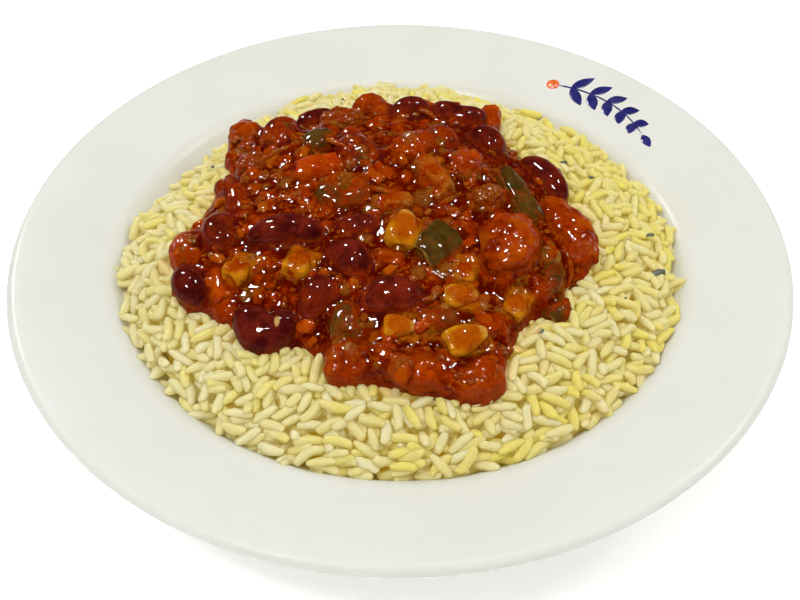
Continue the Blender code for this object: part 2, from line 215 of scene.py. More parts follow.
class Finish:
    """A material on a Principled shader."""

    def __init__(self, name, **constants):
        self.material = bpy.data.materials.new(name)
        self.material.use_nodes = True
        self.tree = self.material.node_tree
        self.shader = self.tree.nodes["Principled BSDF"]
        self.place = self.node("ShaderNodeTexCoord", output="Object")
        self.set(**constants)

    def node(self, kind, settings=None, sockets=None, output=0):
        """Adds a node, sets it up, fills its sockets with values or links, and returns an output."""
        made = self.tree.nodes.new(kind)
        for name, value in (settings or {}).items():
            setattr(made, name, value)
        for name, value in (sockets or {}).items():
            self.fill(made.inputs[name], value)
        return Term(self, made.outputs[output])

    def fill(self, socket, value):
        if isinstance(value, Term):
            self.tree.links.new(value.socket, socket)
        elif socket.type == "RGBA":
            socket.default_value = (*value, 1)
        else:
            socket.default_value = value

    def set(self, **sockets):
        """Fills sockets of the shader, named with underscores for spaces."""
        for name, value in sockets.items():
            label = name.replace("_", " ").title().replace("Ior", "IOR")
            self.fill(self.shader.inputs[label], value)

    def noise(self, size, detail=2, roughness=0.5, distortion=0, shift=0, stretch=(1, 1, 1)):
        """Smooth noise from 0 to 1 with features of that size."""
        place = self.node(
            "ShaderNodeMapping",
            sockets={"Vector": self.place, "Location": (shift, shift, shift), "Scale": stretch},
        )
        sockets = {
            "Vector": place,
            "Scale": 1 / size,
            "Detail": detail,
            "Roughness": roughness,
            "Distortion": distortion,
        }
        return self.node("ShaderNodeTexNoise", sockets=sockets, output="Fac")

    def axis(self, name):
        """How far along X, Y or Z a point lies, in metres."""
        return self.node("ShaderNodeSeparateXYZ", sockets={"Vector": self.place}, output=name)

    def rise(self, value, low, high, start=0, end=1):
        """A smooth step from start to end as value goes from low to high."""
        settings = {"interpolation_type": "SMOOTHSTEP"}
        sockets = {"Value": value, "From Min": low, "From Max": high, "To Min": start, "To Max": end}
        return self.node("ShaderNodeMapRange", settings, sockets, "Result")

    def attribute(self, name):
        return self.node("ShaderNodeAttribute", {"attribute_name": name}, output="Fac")

    def mix(self, factor, first, second):
        """A colour between two colours, which are sockets 6 and 7 of the node."""
        sockets = {"Factor": factor, 6: first, 7: second}
        return self.node("ShaderNodeMix", {"data_type": "RGBA"}, sockets, output=2)

    def bump(self, height, distance, strength=1.0):
        """Adds relief to what the shader has already."""
        sockets = {"Height": height, "Distance": distance, "Strength": strength}
        before = self.shader.inputs["Normal"].links
        if before:
            sockets["Normal"] = Term(self, before[0].from_socket)
        self.set(normal=self.node("ShaderNodeBump", sockets=sockets, output="Normal"))


# Modelling by operators


def deselect():
    bpy.ops.object.select_all(action="DESELECT")


def activate(piece):
    deselect()
    piece.select_set(True)
    bpy.context.view_layer.objects.active = piece


def added(name):
    """The object that an operator has just added, with its place applied to its mesh."""
    piece = bpy.context.object
    piece.name = piece.data.name = name
    bpy.ops.object.transform_apply(location=True, rotation=True, scale=True)
    return piece


def modified(piece, kind, **settings):
    """Puts a modifier on a piece and applies it."""
    activate(piece)
    modifier = piece.modifiers.new(kind.lower(), kind)
    for name, value in settings.items():
        setattr(modifier, name, value)
    bpy.ops.object.modifier_apply(modifier=modifier.name)


def subdivided(piece, levels):
    modified(piece, "SUBSURF", levels=levels, render_levels=levels)


def roughened(piece, size, depth, kind="CLOUDS"):
    """Moves the surface in and out by a procedural texture with features of that size."""
    texture = bpy.data.textures.new("relief", kind)
    texture.noise_scale = size
    modified(piece, "DISPLACE", texture=texture, strength=depth, texture_coords="GLOBAL")
    bpy.data.textures.remove(texture)


def draped(piece, reach, grid):
    """Fills the grooves that are narrower than twice the reach, as a thick sauce does."""
    for shift in (reach, -reach):
        modified(piece, "DISPLACE", strength=shift, mid_level=0)
        modified(piece, "REMESH", mode="VOXEL", voxel_size=grid)


def edit(piece):
    """Enters edit mode with the whole piece selected."""
    activate(piece)
    bpy.ops.object.mode_set(mode="EDIT")
    bpy.ops.mesh.select_mode(type="VERT")
    bpy.ops.mesh.select_all(action="SELECT")


def edited():
    bpy.ops.object.mode_set(mode="OBJECT")


def coordinates(mesh):
    values = np.empty(len(mesh.vertices) * 3)
    mesh.vertices.foreach_get("co", values)
    return values.reshape(-1, 3)


def set_coordinates(mesh, places):
    mesh.vertices.foreach_set("co", np.asarray(places, np.float32).ravel())
    mesh.update()


def normals(mesh):
    values = np.empty(len(mesh.vertices) * 3, np.float32)
    mesh.vertices.foreach_get("normal", values)
    return values.reshape(-1, 3)


def paint(mesh, name, values):
    """Stores a number for each vertex."""
    layer = mesh.attributes.get(name) or mesh.attributes.new(name, "FLOAT", "POINT")
    layer.data.foreach_set("value", np.asarray(values, np.float32))


def tree_of(mesh):
    return BVHTree.FromPolygons([v.co for v in mesh.vertices], [p.vertices for p in mesh.polygons])


def below(tree, x, y):
    """The place and the normal where a ray straight down meets a surface, or None and None."""
    return tree.ray_cast(Vector((x, y, ABOVE)), DOWN)[:2]


def standing_on(normal):
    """The turn that points a form's Z along a normal."""
    return normal.to_track_quat("Z", "Y").to_matrix().to_4x4()


def copy_of(mesh, name):
    """A new object on a copy of a mesh, merged where a CAD mesh is loose triangles."""
    piece = bpy.data.objects.new(name, mesh.copy())
    bpy.context.scene.collection.objects.link(piece)
    piece.data.materials.clear()
    edit(piece)
    bpy.ops.mesh.remove_doubles(threshold=0.01 * MM)
    edited()
    return piece


def joined(pieces, name):
    activate(pieces[0])
    for piece in pieces:
        piece.select_set(True)
    bpy.ops.object.join()
    return added(name)


def mesh_of(piece):
    """The mesh of a form, whose object is no longer needed."""
    mesh = piece.data
    bpy.data.objects.remove(piece)
    return mesh


def skin_tree():
    return tree_of(bpy.data.objects["sauce_skin"].data)


def tree_of_nodes(nodes):
    """One search tree of several CAD nodes."""
    copies = [copy_of(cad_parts[node].data, node) for node in nodes]
    return tree_of(mesh_of(joined(copies, "nodes")))


def with_own_relief(piece, points, shift, size, depth):
    """Roughens a form at another place of the texture, so that no two forms are alike."""
    set_coordinates(piece.data, points + (shift, 0, 0))
    roughened(piece, size, depth)
    set_coordinates(piece.data, coordinates(piece.data) - (shift, 0, 0))


def scattered(name, forms, placings, attributes):
    """One mesh of many copies of a few forms.

    placings are pairs of form number and 4x4 matrix. attributes hold one number for each copy.
    """
    points, counts, corners, owner = [], [], [], []
    start = 0
    cages = []
    for form in forms:
        cages.append((coordinates(form), [list(face.vertices) for face in form.polygons]))
    for copy, (which, matrix) in enumerate(placings):
        cage, loops = cages[which]
        matrix = np.array(matrix)
        points.append(cage @ matrix[:3, :3].T + matrix[:3, 3])
        for loop in loops:
            corners.extend(corner + start for corner in loop)
            counts.append(len(loop))
        start += len(cage)
        owner += [copy] * len(cage)
    mesh = bpy.data.meshes.new(name)
    mesh.vertices.add(start)
    mesh.loops.add(len(corners))
    mesh.polygons.add(len(counts))
    mesh.vertices.foreach_set("co", np.concatenate(points).astype(np.float32).ravel())
    mesh.loops.foreach_set("vertex_index", np.array(corners, np.int32))
    starts = np.concatenate([[0], np.cumsum(counts)[:-1]]).astype(np.int32)
    mesh.polygons.foreach_set("loop_start", starts)
    mesh.update(calc_edges=True)
    mesh.shade_smooth()
    for key, values in attributes.items():
        paint(mesh, key, np.asarray(values)[owner])
    piece = bpy.data.objects.new(name, mesh)
    bpy.context.scene.collection.objects.link(piece)
    return piece


def finished(piece, name, finish, slot, *nodes):
    """Names a piece, gives it its material and its body, and hides the nodes that it stands for."""
    piece.name = piece.data.name = name
    piece.data.materials.clear()
    piece.data.materials.append(finish.material)
    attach(piece, BODY)
    if nodes:
        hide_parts(*nodes)
    return piece


def nodes_of(kind):
    numbered = (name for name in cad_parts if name[-2:].isdigit())
    return sorted(name for name in numbered if name.startswith(kind + "_"))


# Plate


def rounded_path(corners, steps):
    """Points along straight runs, with an arc at each corner given as (x, z, fillet radius)."""
    path = [Vector(corners[0][:2])]
    for before, corner, after in zip(corners, corners[1:], corners[2:]):
        middle = Vector(corner[:2])
        arriving = (middle - Vector(before[:2])).normalized()
        leaving = (Vector(after[:2]) - middle).normalized()
        turn = arriving.angle_signed(leaving)
        reach = corner[2] * math.tan(abs(turn) / 2)
        start = middle - arriving * reach
        centre = start + Vector((arriving.y, -arriving.x)) * corner[2] * math.copysign(1, turn)
        for step in range(steps + 1):
            spoke = start - centre
            spoke.rotate(Matrix.Rotation(-turn * step / steps, 2))
            path.append(centre + spoke)
    path.append(Vector(corners[-1][:2]))
    return path


def offset_path(path, distance):
    """The same path, moved to its left side."""
    moved = []
    for place, point in enumerate(path):
        along = path[min(place + 1, len(path) - 1)] - path[max(place - 1, 0)]
        along.normalize()
        moved.append(point + Vector((-along.y, along.x)) * distance)
    return moved


def plate_outline(plate):
    """From the middle of the well over the rim and back below to the foot ring and the middle."""
    radius, height = PLATE_BOX[1].x, PLATE_BOX[1].z
    half = plate.wall / 2
    corners = (
        (2 * MM, plate.floor_height, 0),
        (plate.floor_radius, plate.floor_height, plate.side_fillet),
        (plate.well_radius, plate.well_height, plate.rim_fillet),
        (radius - half, height - half, 0),
    )
    middle = rounded_path(corners, 10)
    run = middle.pop()
    middle += [middle[-1].lerp(run, part / 5) for part in range(1, 6)]
    upper = offset_path(middle, half)
    lower = offset_path(middle, -half)
    lip = []
    for step in range(1, 8):
        angle = math.radians(90 - 22.5 * step)
        lip.append(middle[-1] + Vector((math.cos(angle), math.sin(angle))) * half)
    recess = plate.floor_height - half
    outer = plate.foot_radius + plate.foot_width / 2
    inner = plate.foot_radius - plate.foot_width / 2
    foot = [
        Vector((outer + 1.2 * MM, recess)),
        Vector((outer + 0.2 * MM, 0.6 * MM)),
        Vector((outer - 0.4 * MM, 0)),
        Vector((inner + 0.4 * MM, 0)),
        Vector((inner - 0.2 * MM, 0.6 * MM)),
        Vector((inner - 1.2 * MM, recess)),
        Vector((2 * MM, recess)),
    ]
    outside = [point for point in reversed(lower) if point.x > foot[0].x + MM]
    return upper + lip + outside + foot


def make_plate(plate):
    """A disc pulled out over the rim and back below, ring by ring, and closed."""
    outline = plate_outline(plate)
    deselect()
    bpy.ops.mesh.primitive_circle_add(vertices=plate.sides, radius=outline[0].x, fill_type="TRIFAN")
    body = added("plate_glazed")
    edit(body)
    bpy.ops.transform.translate(value=(0, 0, outline[0].y))
    bpy.ops.mesh.region_to_loop()
    for before, after in zip(outline, outline[1:]):
        rise = (0, 0, after.y - before.y)
        bpy.ops.mesh.extrude_edges_move(TRANSFORM_OT_translate={"value": rise})
        grow = after.x / before.x
        bpy.ops.transform.resize(value=(grow, grow, 1), center_override=(0, 0, after.y))
    bpy.ops.mesh.edge_face_add()
    bpy.ops.mesh.poke()
    bpy.ops.mesh.select_all(action="SELECT")
    bpy.ops.mesh.normals_make_consistent(inside=False)
    edited()
    bpy.ops.object.shade_smooth_by_angle(angle=math.radians(50))
    return body


def glaze_finish(plate):
    glaze = Finish(
        "white_glaze", specular_ior_level=0.02, coat_weight=0.04, coat_roughness=0.25, coat_ior=1.4
    )
    cloud = glaze.noise(38 * MM, detail=3)
    speck = glaze.rise(glaze.noise(1.7 * MM, detail=1), 0.80, 0.86)
    warm = toned(plate.glaze, (0.97, 0.965, 0.93))
    tone = glaze.mix(glaze.rise(cloud, 0.3, 0.7), plate.glaze, warm)
    glaze.set(base_color=glaze.mix(speck * 0.5, tone, toned(plate.glaze, 0.86)))
    glaze.set(roughness=glaze.rise(glaze.noise(30 * MM, detail=2), 0.3, 0.7, 0.25, 0.27))
    glaze.bump(glaze.noise(14 * MM, detail=1), 0.02 * MM, 0.5)
    return glaze


# The sprig printed on the rim: a bent stem with paired leaves and one berry

SPRIG_FOOT = Vector((57 * MM, 84 * MM))
SPRIG_TIP = Vector((84 * MM, 55 * MM))
SPRIG_BOW = 5.0 * MM
LEAF_PAIRS = 5
LEAF_LENGTH = 9.5 * MM
LEAF_WIDTH = 3.9 * MM
LEAF_LEAN = math.radians(48)
BERRY_RADIUS = 2.3 * MM
PRINT_DEPTH = 0.05 * MM
PRINT_START = PLATE_BOX[1].z + 5 * MM  # where the flat print hangs before it is laid on the rim
STEM_HALF_WIDTH = 0.42 * MM


def sprig_point(part):
    """A point of the bent stem, 0 at its foot and 1 at its tip, and its direction there."""
    chord = SPRIG_TIP - SPRIG_FOOT
    side = Vector((-chord.y, chord.x)).normalized()
    point = SPRIG_FOOT + chord * part + side * SPRIG_BOW * 4 * part * (1 - part)
    along = chord + side * SPRIG_BOW * 4 * (1 - 2 * part)
    return point, along.normalized()


def flat_leaf(name, place, direction, size, width):
    """A flat pointed leaf that starts at a place."""
    deselect()
    bpy.ops.mesh.primitive_grid_add(x_subdivisions=14, y_subdivisions=6, size=2)
    leaf = added(name)
    points = coordinates(leaf.data)
    along = (points[:, 0] + 1) / 2
    across = points[:, 1] * width / 2 * np.sin(np.pi * along ** 0.85) ** 0.85
    side = Vector((-direction.y, direction.x))
    for axis in range(2):
        points[:, axis] = place[axis] + direction[axis] * along * size + side[axis] * across
    points[:, 2] = PRINT_START
    set_coordinates(leaf.data, points)
    return leaf


def bent_stem():
    """A strip of unit size, laid along the stem's line and made thin."""
    stem = flat_leaf("stem", *sprig_point(0), 1, 1)
    points = coordinates(stem.data)
    _, direction = sprig_point(0)
    side = Vector((-direction.y, direction.x))
    for point in points:
        offset = Vector(point[:2]) - SPRIG_FOOT
        part = offset.dot(direction)
        middle, along = sprig_point(min(1, max(0, part)))
        across = math.copysign(STEM_HALF_WIDTH, offset.dot(side)) * (1 - 0.5 * part)
        across *= min(1, abs(offset.dot(side)) * 40)
        point[:2] = middle + Vector((-along.y, along.x)) * across
    set_coordinates(stem.data, points)
    return stem


def make_sprig(body):
    leaves = [bent_stem()]
    for pair in range(LEAF_PAIRS):
        place, along = sprig_point((pair + 0.7) / LEAF_PAIRS * 0.9)
        size = LEAF_LENGTH * (1 - 0.11 * pair)
        for lean in (LEAF_LEAN, -LEAF_LEAN):
            direction = along.copy()
            direction.rotate(Matrix.Rotation(lean, 2))
            leaves.append(flat_leaf("leaf", place, direction, size, LEAF_WIDTH))
    place, along = sprig_point(1)
    leaves.append(flat_leaf("leaf", place, along, LEAF_LENGTH * 0.7, LEAF_WIDTH * 0.8))
    printed = printed_on(joined(leaves, "rim_leaves"), body)
    place, along = sprig_point(0.02)
    deselect()
    bpy.ops.mesh.primitive_circle_add(vertices=32, radius=BERRY_RADIUS, fill_type="TRIFAN")
    berry = added("rim_berry")
    edit(berry)
    middle = place - along * BERRY_RADIUS
    bpy.ops.transform.translate(value=(middle.x, middle.y, PRINT_START))
    edited()
    return printed, printed_on(berry, body)


def printed_on(flat, body):
    """Lays flat shapes on the plate, a hair proud of it, and gives them a thickness."""
    modified(
        flat,
        "SHRINKWRAP",
        target=body,
        wrap_method="PROJECT",
        use_project_x=False,
        use_project_y=False,
        use_project_z=True,
        use_negative_direction=True,
        use_positive_direction=False,
        offset=PRINT_DEPTH,
    )
    modified(flat, "WELD", merge_threshold=0.005 * MM)
    modified(flat, "SOLIDIFY", thickness=PRINT_DEPTH * 1.6, offset=-1)
    flat.data.shade_smooth()
    return flat


def print_finish(name, tone):
    ink = Finish(name, ior=1.5, coat_weight=0.2, coat_roughness=0.1, coat_ior=1.4)
    light = tuple(c * 1.5 + 0.01 for c in tone)
    ink.set(base_color=ink.mix(ink.rise(ink.noise(2.5 * MM, detail=3), 0.35, 0.75), tone, light))
    ink.set(roughness=ink.rise(ink.noise(6 * MM), 0.3, 0.7, 0.15, 0.24))
    return ink


# Rice

PLATE_REACH = 92 * MM  # half the side of the square in which grains may lie
GRAIN_SIDES = 7
GRAIN_RINGS = 8
GRAIN_FORMS = 6
GRAIN_CHOICES = 8  # places looked at before a grain is laid in the lowest
GRAIN_ROOM = 0.85  # height that a lying grain takes, in parts of its width
GRAIN_SINK = 0.12  # how far a grain's middle lies above what carries it, in parts of its height
GRAIN_OVER = 0.9 * MM  # how far above the heap's surface the middle of a grain may lie
GRAIN_GAP = 20 * MM  # between two forms while they get their relief
EDGE_ROOM = 1.5 * MM  # from the middle of a grain to the edge of the heap
EDGE_GRAINS = 760  # laid first, flat in the plate round the edge
UNDER_SAUCE = -6 * MM  # how far under the chili grains are still laid
CLEAR_OF_SAUCE = 20 * MM  # a distance from the chili at which no grain is stained
STAIN_REACH = 5 * MM
LOOSE_GRAINS = 12
# Grains in places of their own: x and y in mm, heading
STRAY_GRAINS = (
    (-85, -8, 1.9),
    (-83, -13, 0.6),
    (-6, 84, 0.2),
    (86, 6, 1.5),
    (-25, -81.5, 0.35),
    (-21, -83.5, 0.1),
)
CORE_FLOOR = RICE_BOX[0].z - 3 * MM  # the lowest that the core goes, inside the plate's wall
CORE_SLOPE = 66 * MM, 15 * MM, 4 * MM  # from this radius and over this width the core drops so far
OUTLINE_SPAN = 80 * MM, 30 * MM, 0.4 * MM  # the chili's edge is looked for from, to, in steps of
SEED_RICE = 11
SEED_SAUCE = 23
SEED_HERBS = 37


class Heights:
    """Heights of what lies in the plate so far, over a square grid."""

    STEP = 0.5 * MM

    def __init__(self, meshes, reach):
        self.reach = reach
        self.count = int(2 * reach / self.STEP) + 1
        self.map = np.zeros((self.count, self.count))
        trees = [tree_of(mesh) for mesh in meshes]
        for column in range(self.count):
            for row in range(self.count):
                for tree in trees:
                    hit, _ = below(tree, column * self.STEP - reach, row * self.STEP - reach)
                    if hit:
                        self.map[column, row] = max(self.map[column, row], hit.z)

    def cell(self, value):
        steps = np.rint((np.asarray(value) + self.reach) / self.STEP)
        return np.clip(steps.astype(int), 0, self.count - 1)

    def at(self, x, y):
        return self.map[self.cell(x), self.cell(y)]

    def support(self, x, y, heading, size):
        """Height and slope at which a straight grain comes to rest on what lies under it."""
        stations = np.linspace(-0.42, 0.42, 9) * size[0]
        cos, sin = math.cos(heading), math.sin(heading)
        profile = np.full(9, -1.0)
        for aside in (-0.18 * size[1], 0, 0.18 * size[1]):
            heights = self.at(x + stations * cos - aside * sin, y + stations * sin + aside * cos)
            profile = np.maximum(profile, heights)
        best, slope = -1.0, 0.0
        for back in range(5):
            for front in range(4, 9):
                if front == back:
                    continue
                rise = (profile[front] - profile[back]) / (stations[front] - stations[back])
                level = profile[back] - rise * stations[back] - 0.1 * MM * abs(rise)
                if level > best:
                    best, slope = level, rise
        return best, slope

    def lay(self, x, y, heading, size, level, slope):
        """Raises the map under a grain whose middle is at that level."""
        half = size[0] / 2 + self.STEP
        columns = np.arange(self.cell(x - half), self.cell(x + half) + 1)
        rows = np.arange(self.cell(y - half), self.cell(y + half) + 1)
        east = (columns * self.STEP - self.reach - x)[:, None]
        north = (rows * self.STEP - self.reach - y)[None, :]
        along = east * math.cos(heading) + north * math.sin(heading)
        across = north * math.cos(heading) - east * math.sin(heading)
        inside = 1 - (2 * along / size[0]) ** 2 - (2.4 * across / size[1]) ** 2
        dome = size[2] / 2 * np.sqrt(np.maximum(inside, 0))
        top = np.where(inside > 0, level + slope * along + dome, 0)
        patch = np.ix_(columns, rows)
        self.map[patch] = np.maximum(self.map[patch], top)


def chili_outline(steps=90):
    """Radius at which the chili ends, at even angles round the middle of its box."""
    tree = tree_of(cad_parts["chili"].data)
    middle = ((CHILI_BOX[0] + CHILI_BOX[1]) / 2).xy
    farthest, nearest, stride = OUTLINE_SPAN
    radii = []
    for step in range(steps):
        angle = 2 * math.pi * step / steps
        around = Vector((math.cos(angle), math.sin(angle)))
        radius = farthest
        while radius > nearest and not below(tree, *(middle + around * radius))[0]:
            radius -= stride
        radii.append(radius)
    return middle, np.array(radii)


def past_outline(outline, x, y):
    """How far a place lies outside the chili, negative under it."""
    middle, radii = outline
    east, north = x - middle.x, y - middle.y
    place = (math.atan2(north, east) / (2 * math.pi) % 1) * len(radii)
    low = int(place) % len(radii)
    part = place - int(place)
    edge = radii[low] * (1 - part) + radii[(low + 1) % len(radii)] * part
    return math.hypot(east, north) - edge


def make_rice_core(rice):
    """The heap under the loose grains, with relief as deep as a grain."""
    core = copy_of(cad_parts["rice"].data, "rice_core")
    modified(core, "REMESH", mode="VOXEL", voxel_size=1.3 * MM)
    modified(core, "SMOOTH", factor=0.6, iterations=6)
    roughened(core, 2.4 * MM, 1.6 * MM, "VORONOI")
    points = coordinates(core.data)
    points[:, 2] = np.maximum(points[:, 2] - rice.core_depth, CORE_FLOOR)
    points[:, :2] *= 1 - rice.core_inset / RICE_BOX[1].x
    start, width, drop = CORE_SLOPE
    rim = np.clip((np.hypot(points[:, 0], points[:, 1]) - start) / width, 0, 1)
    points[:, 2] = np.maximum(points[:, 2] - rim ** 2 * drop, CORE_FLOOR)
    set_coordinates(core.data, points)
    core.data.shade_smooth()
    return core


def grain_forms(rice):
    """Grains of a few shapes: bent, tapered or blunt, all lying along X round the origin."""
    draw = np.random.default_rng(SEED_RICE)
    forms = []
    for number in range(GRAIN_FORMS):
        deselect()
        bpy.ops.mesh.primitive_uv_sphere_add(
            segments=GRAIN_SIDES, ring_count=GRAIN_RINGS, radius=1, rotation=(0, math.pi / 2, 0)
        )
        grain = added(f"grain_{number}")
        along, across, up = coordinates(grain.data).T
        blunt = np.maximum(np.hypot(across, up), 0.05) ** draw.uniform(-0.60, -0.28)
        fat = blunt * (1 + draw.uniform(-0.16, 0.16) * along)
        bend = draw.uniform(-0.6, 1.0) * MM * along ** 2
        notch = draw.uniform(-0.2, 0.2) * across
        long = (along + notch) * rice.grain_length / 2
        wide = across * fat * rice.grain_width / 2 + bend
        high = up * fat * rice.grain_width * 0.40
        points = np.stack([long, wide, high], axis=1)
        with_own_relief(grain, points, number * GRAIN_GAP, 2.6 * MM, 0.9 * MM)
        forms.append(mesh_of(grain))
    return forms


def lay_grains(rice, core):
    """Place, scale and distance from the chili of all the grains, each resting on those before it."""
    draw = np.random.default_rng(SEED_RICE + 1)
    heights = Heights([core.data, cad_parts["plate"].data], PLATE_REACH)
    goal = Heights([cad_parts["rice"].data], PLATE_REACH)
    outline = chili_outline()
    plain = rice.grain_length, rice.grain_width, rice.grain_width * GRAIN_ROOM
    placings = []
    for _ in range(EDGE_GRAINS):
        angle = draw.uniform(0, 2 * math.pi)
        radius = RICE_BOX[1].x - draw.uniform(-0.5, 6) * MM
        heading = angle + math.pi / 2 + draw.normal(0, 0.7)
        x, y = radius * math.cos(angle), radius * math.sin(angle)
        level, _ = heights.support(x, y, heading, plain)
        inward = 1 - 2 * MM / radius
        if level < goal.at(x * inward, y * inward):
            placings.append((rest_grain(heights, draw, x, y, plain, heading), 1, CLEAR_OF_SAUCE))
    idle = 0
    while len(placings) < rice.grains and idle < 200:
        scale = draw.uniform(0.55, 0.8) if draw.uniform() < 0.18 else draw.normal(1, 0.12)
        size = rice.grain_length * scale, rice.grain_width * draw.normal(1, 0.07), plain[2]
        spots = []
        for _ in range(GRAIN_CHOICES):
            angle = draw.uniform(0, 2 * math.pi)
            radius = math.sqrt(draw.uniform(0.36, 1)) * RICE_BOX[1].x
            heading = draw.uniform(0, math.pi)
            x, y = radius * math.cos(angle), radius * math.sin(angle)
            past = past_outline(outline, x, y)
            inward = 1 + EDGE_ROOM / radius
            if past < UNDER_SAUCE or goal.at(x * inward, y * inward) == 0:
                continue
            level, slope = heights.support(x, y, heading, size)
            near = 0.7 * MM if past < 2 * MM else 0
            over = level + size[2] * GRAIN_SINK - goal.at(x, y) + near
            spots.append((over + 1.5 * MM * abs(slope), x, y, heading, past))
        best = min(spots) if spots else (1,)
        if best[0] > GRAIN_OVER:
            idle += 1
            continue
        idle = 0
        _, x, y, heading, past = best
        placings.append((rest_grain(heights, draw, x, y, size, heading), scale, past))
    for x, y, heading in STRAY_GRAINS:
        matrix = rest_grain(heights, draw, x * MM, y * MM, plain, heading)
        placings.append((matrix, 1, CLEAR_OF_SAUCE))
    for _ in range(LOOSE_GRAINS):
        angle = draw.uniform(0, 2 * math.pi)
        radius = RICE_BOX[1].x + draw.uniform(-1, 1) * MM
        heading = angle + math.pi / 2 + draw.normal(0, 0.3)
        x, y = radius * math.cos(angle), radius * math.sin(angle)
        placings.append((rest_grain(heights, draw, x, y, plain, heading), 1, CLEAR_OF_SAUCE))
    return placings


def rest_grain(heights, draw, x, y, size, heading):
    """Lays a grain down on what is there, and returns its place."""
    level, slope = heights.support(x, y, heading, size)
    slope = max(-0.6, min(0.6, slope + draw.normal(0, 0.10)))
    level += size[2] * GRAIN_SINK
    heights.lay(x, y, heading, size, level, slope)
    turn = Euler((draw.uniform(-0.6, 0.6), -math.atan(slope), heading)).to_matrix().to_4x4()
    return Matrix.Translation((x, y, level)) @ turn


def make_grains(rice, core):
    """Two kinds of grains: plain ones, and those that took more colour."""
    draw = np.random.default_rng(SEED_RICE + 2)
    forms = grain_forms(rice)
    kinds = {"rice_grains": ([], [], []), "rice_grains_yellow": ([], [], [])}
    for matrix, scale, past in lay_grains(rice, core):
        kind = "rice_grains_yellow" if draw.uniform() < rice.yellow_share else "rice_grains"
        placings, tints, stains = kinds[kind]
        turn = Matrix.Rotation(math.pi * draw.integers(2), 4, "Z")
        matrix = matrix @ turn @ Matrix.Diagonal((scale, 1, 1, 1))
        placings.append((int(draw.integers(GRAIN_FORMS)), matrix))
        tints.append(draw.uniform())
        near = max(0, 1 - max(0, past) / STAIN_REACH)
        stains.append(near * draw.uniform(0.1, 1) if draw.uniform() < 0.55 else 0)
    made = []
    for name, (placings, tints, stains) in kinds.items():
        made.append(scattered(name, forms, placings, {"tint": tints, "stain": stains}))
    return made


def grain_finish(name, rice, first, second):
    """Grains between two colours, with a painted light gradient: paler at the near left and yellower at
    the far right.
    """
    grain = Finish(
        name,
        subsurface_weight=0.65,
        subsurface_radius=(1.0, 0.85, 0.5),
        subsurface_scale=4 * MM,
        ior=1.42,
        specular_ior_level=0.04,
    )
    tone = grain.mix(grain.attribute("tint"), first, second)
    mottle = grain.rise(grain.noise(2.2 * MM, detail=3), 0.35, 0.75)
    tone = grain.mix(mottle * 0.45, tone, toned(rice.cream, (0.95, 0.86, 0.70)))
    warm = grain.rise(grain.noise(9 * MM, detail=2, shift=4), 0.45, 0.65)
    tone = grain.mix(warm * 0.5, tone, rice.beige)
    # Painted light across the heap: paler towards the near left, yellower towards the far right
    farther_right = grain.axis("X") + grain.axis("Y") * 0.6
    tone = grain.mix(grain.rise(farther_right, 0.04, 0.12, 0, 0.6), tone, rice.yellow)
    tone = grain.mix(grain.rise(farther_right, -0.11, -0.03, 0.4, 0), tone, rice.pale)
    tone = grain.mix(grain.attribute("stain") * 0.75, tone, rice.stain)
    grain.set(base_color=tone)
    # Painted glow: each grain gives off a little light of its own colour mixed with the depth colour,
    # which lightens the shade between the grains
    grain.set(emission_color=grain.mix(0.7, tone, rice.hollow), emission_strength=rice.painted_glow)
    grain.set(roughness=grain.rise(grain.noise(1.5 * MM), 0.3, 0.7, 0.34, 0.55))
    grain.bump(grain.noise(1.6 * MM, detail=3, distortion=0.6), 0.35 * MM, 0.8)
    return grain


def core_finish(rice):
    core = Finish("rice_depths", roughness=0.6)
    mottle = core.rise(core.noise(2.5 * MM, detail=3), 0.3, 0.7)
    # The core takes the depth colour and glows with it: painted glow in the depths between the grains
    core.set(base_color=core.mix(mottle, toned(rice.hollow, 0.8), rice.hollow))
    core.set(emission_color=rice.hollow, emission_strength=rice.painted_glow * 0.75)
    core.bump(core.noise(1.2 * MM, detail=2), 0.5 * MM)
    return core


# Sauce

LUMP_FORMS = 5
LUMP_KINDS = ("plain", "tomato_lumps", "amber_lumps", "mince_lumps")
LUMP_SHARES = (0.34, 0.26, 0.16, 0.24)
MOUND_GRID = 0.9 * MM  # size of the mound's faces
MOUND_FILL = 2.6 * MM  # half the width of the grooves that the sauce fills in the mound
SKIN_FILL = 0.8 * MM  # and in its skin
BARE_ABOVE = 0.4  # pieces with the sauce sunk farther than this, in mm, show above it


def lump_forms():
    """Soft lumps of radius 1 round the origin, each of another shape."""
    lumps = []
    for number in range(LUMP_FORMS):
        deselect()
        bpy.ops.mesh.primitive_ico_sphere_add(subdivisions=3, radius=1)
        lump = added(f"lump_{number}")
        with_own_relief(lump, coordinates(lump.data), number * 7.0, 0.9, 0.75)
        lumps.append(mesh_of(lump))
    return lumps


def surface_places(mesh, draw, count, least_up=0.15):
    """Random points on the upward faces of a mesh, with their normals."""
    faces = [p for p in mesh.polygons if p.normal.z > least_up]
    areas = np.array([p.area for p in faces])
    chosen = draw.choice(len(faces), size=count, p=areas / areas.sum())
    return [(faces[index].center.copy(), faces[index].normal.copy()) for index in chosen]


# How far the sauce has sunk from the top of each piece, in mm; below 0 it lies over the piece
SUNK = {
    "kidney_bean": (3.8, 3.4, 2.4, 0.9, 1.2, 1.0, 2.4, 2.0, 2.6, 2.8, 2.6, 0.3, 0.5, 0.3, -0.5, 0.3, 0.6),
    "corn": (2.2, 1.1, 1.8, 2.8, 1.2, 0.4, 0.3, -0.3),
    "green_pepper": (2.0, 0.5, 0.9, -0.4, 0.3, 0.1, -0.3, 0.1),
    "tomato": (0.6, 0.1, -0.6, -0.9, -0.9, -1.2, -1.3, -1.3, -0.6, -0.4),
    "red_pepper": (0.6, 0.2, 0.1),
    "onion": (0.4, 0.0),
    "mince": (-0.2, 0.2, 0.8),
}
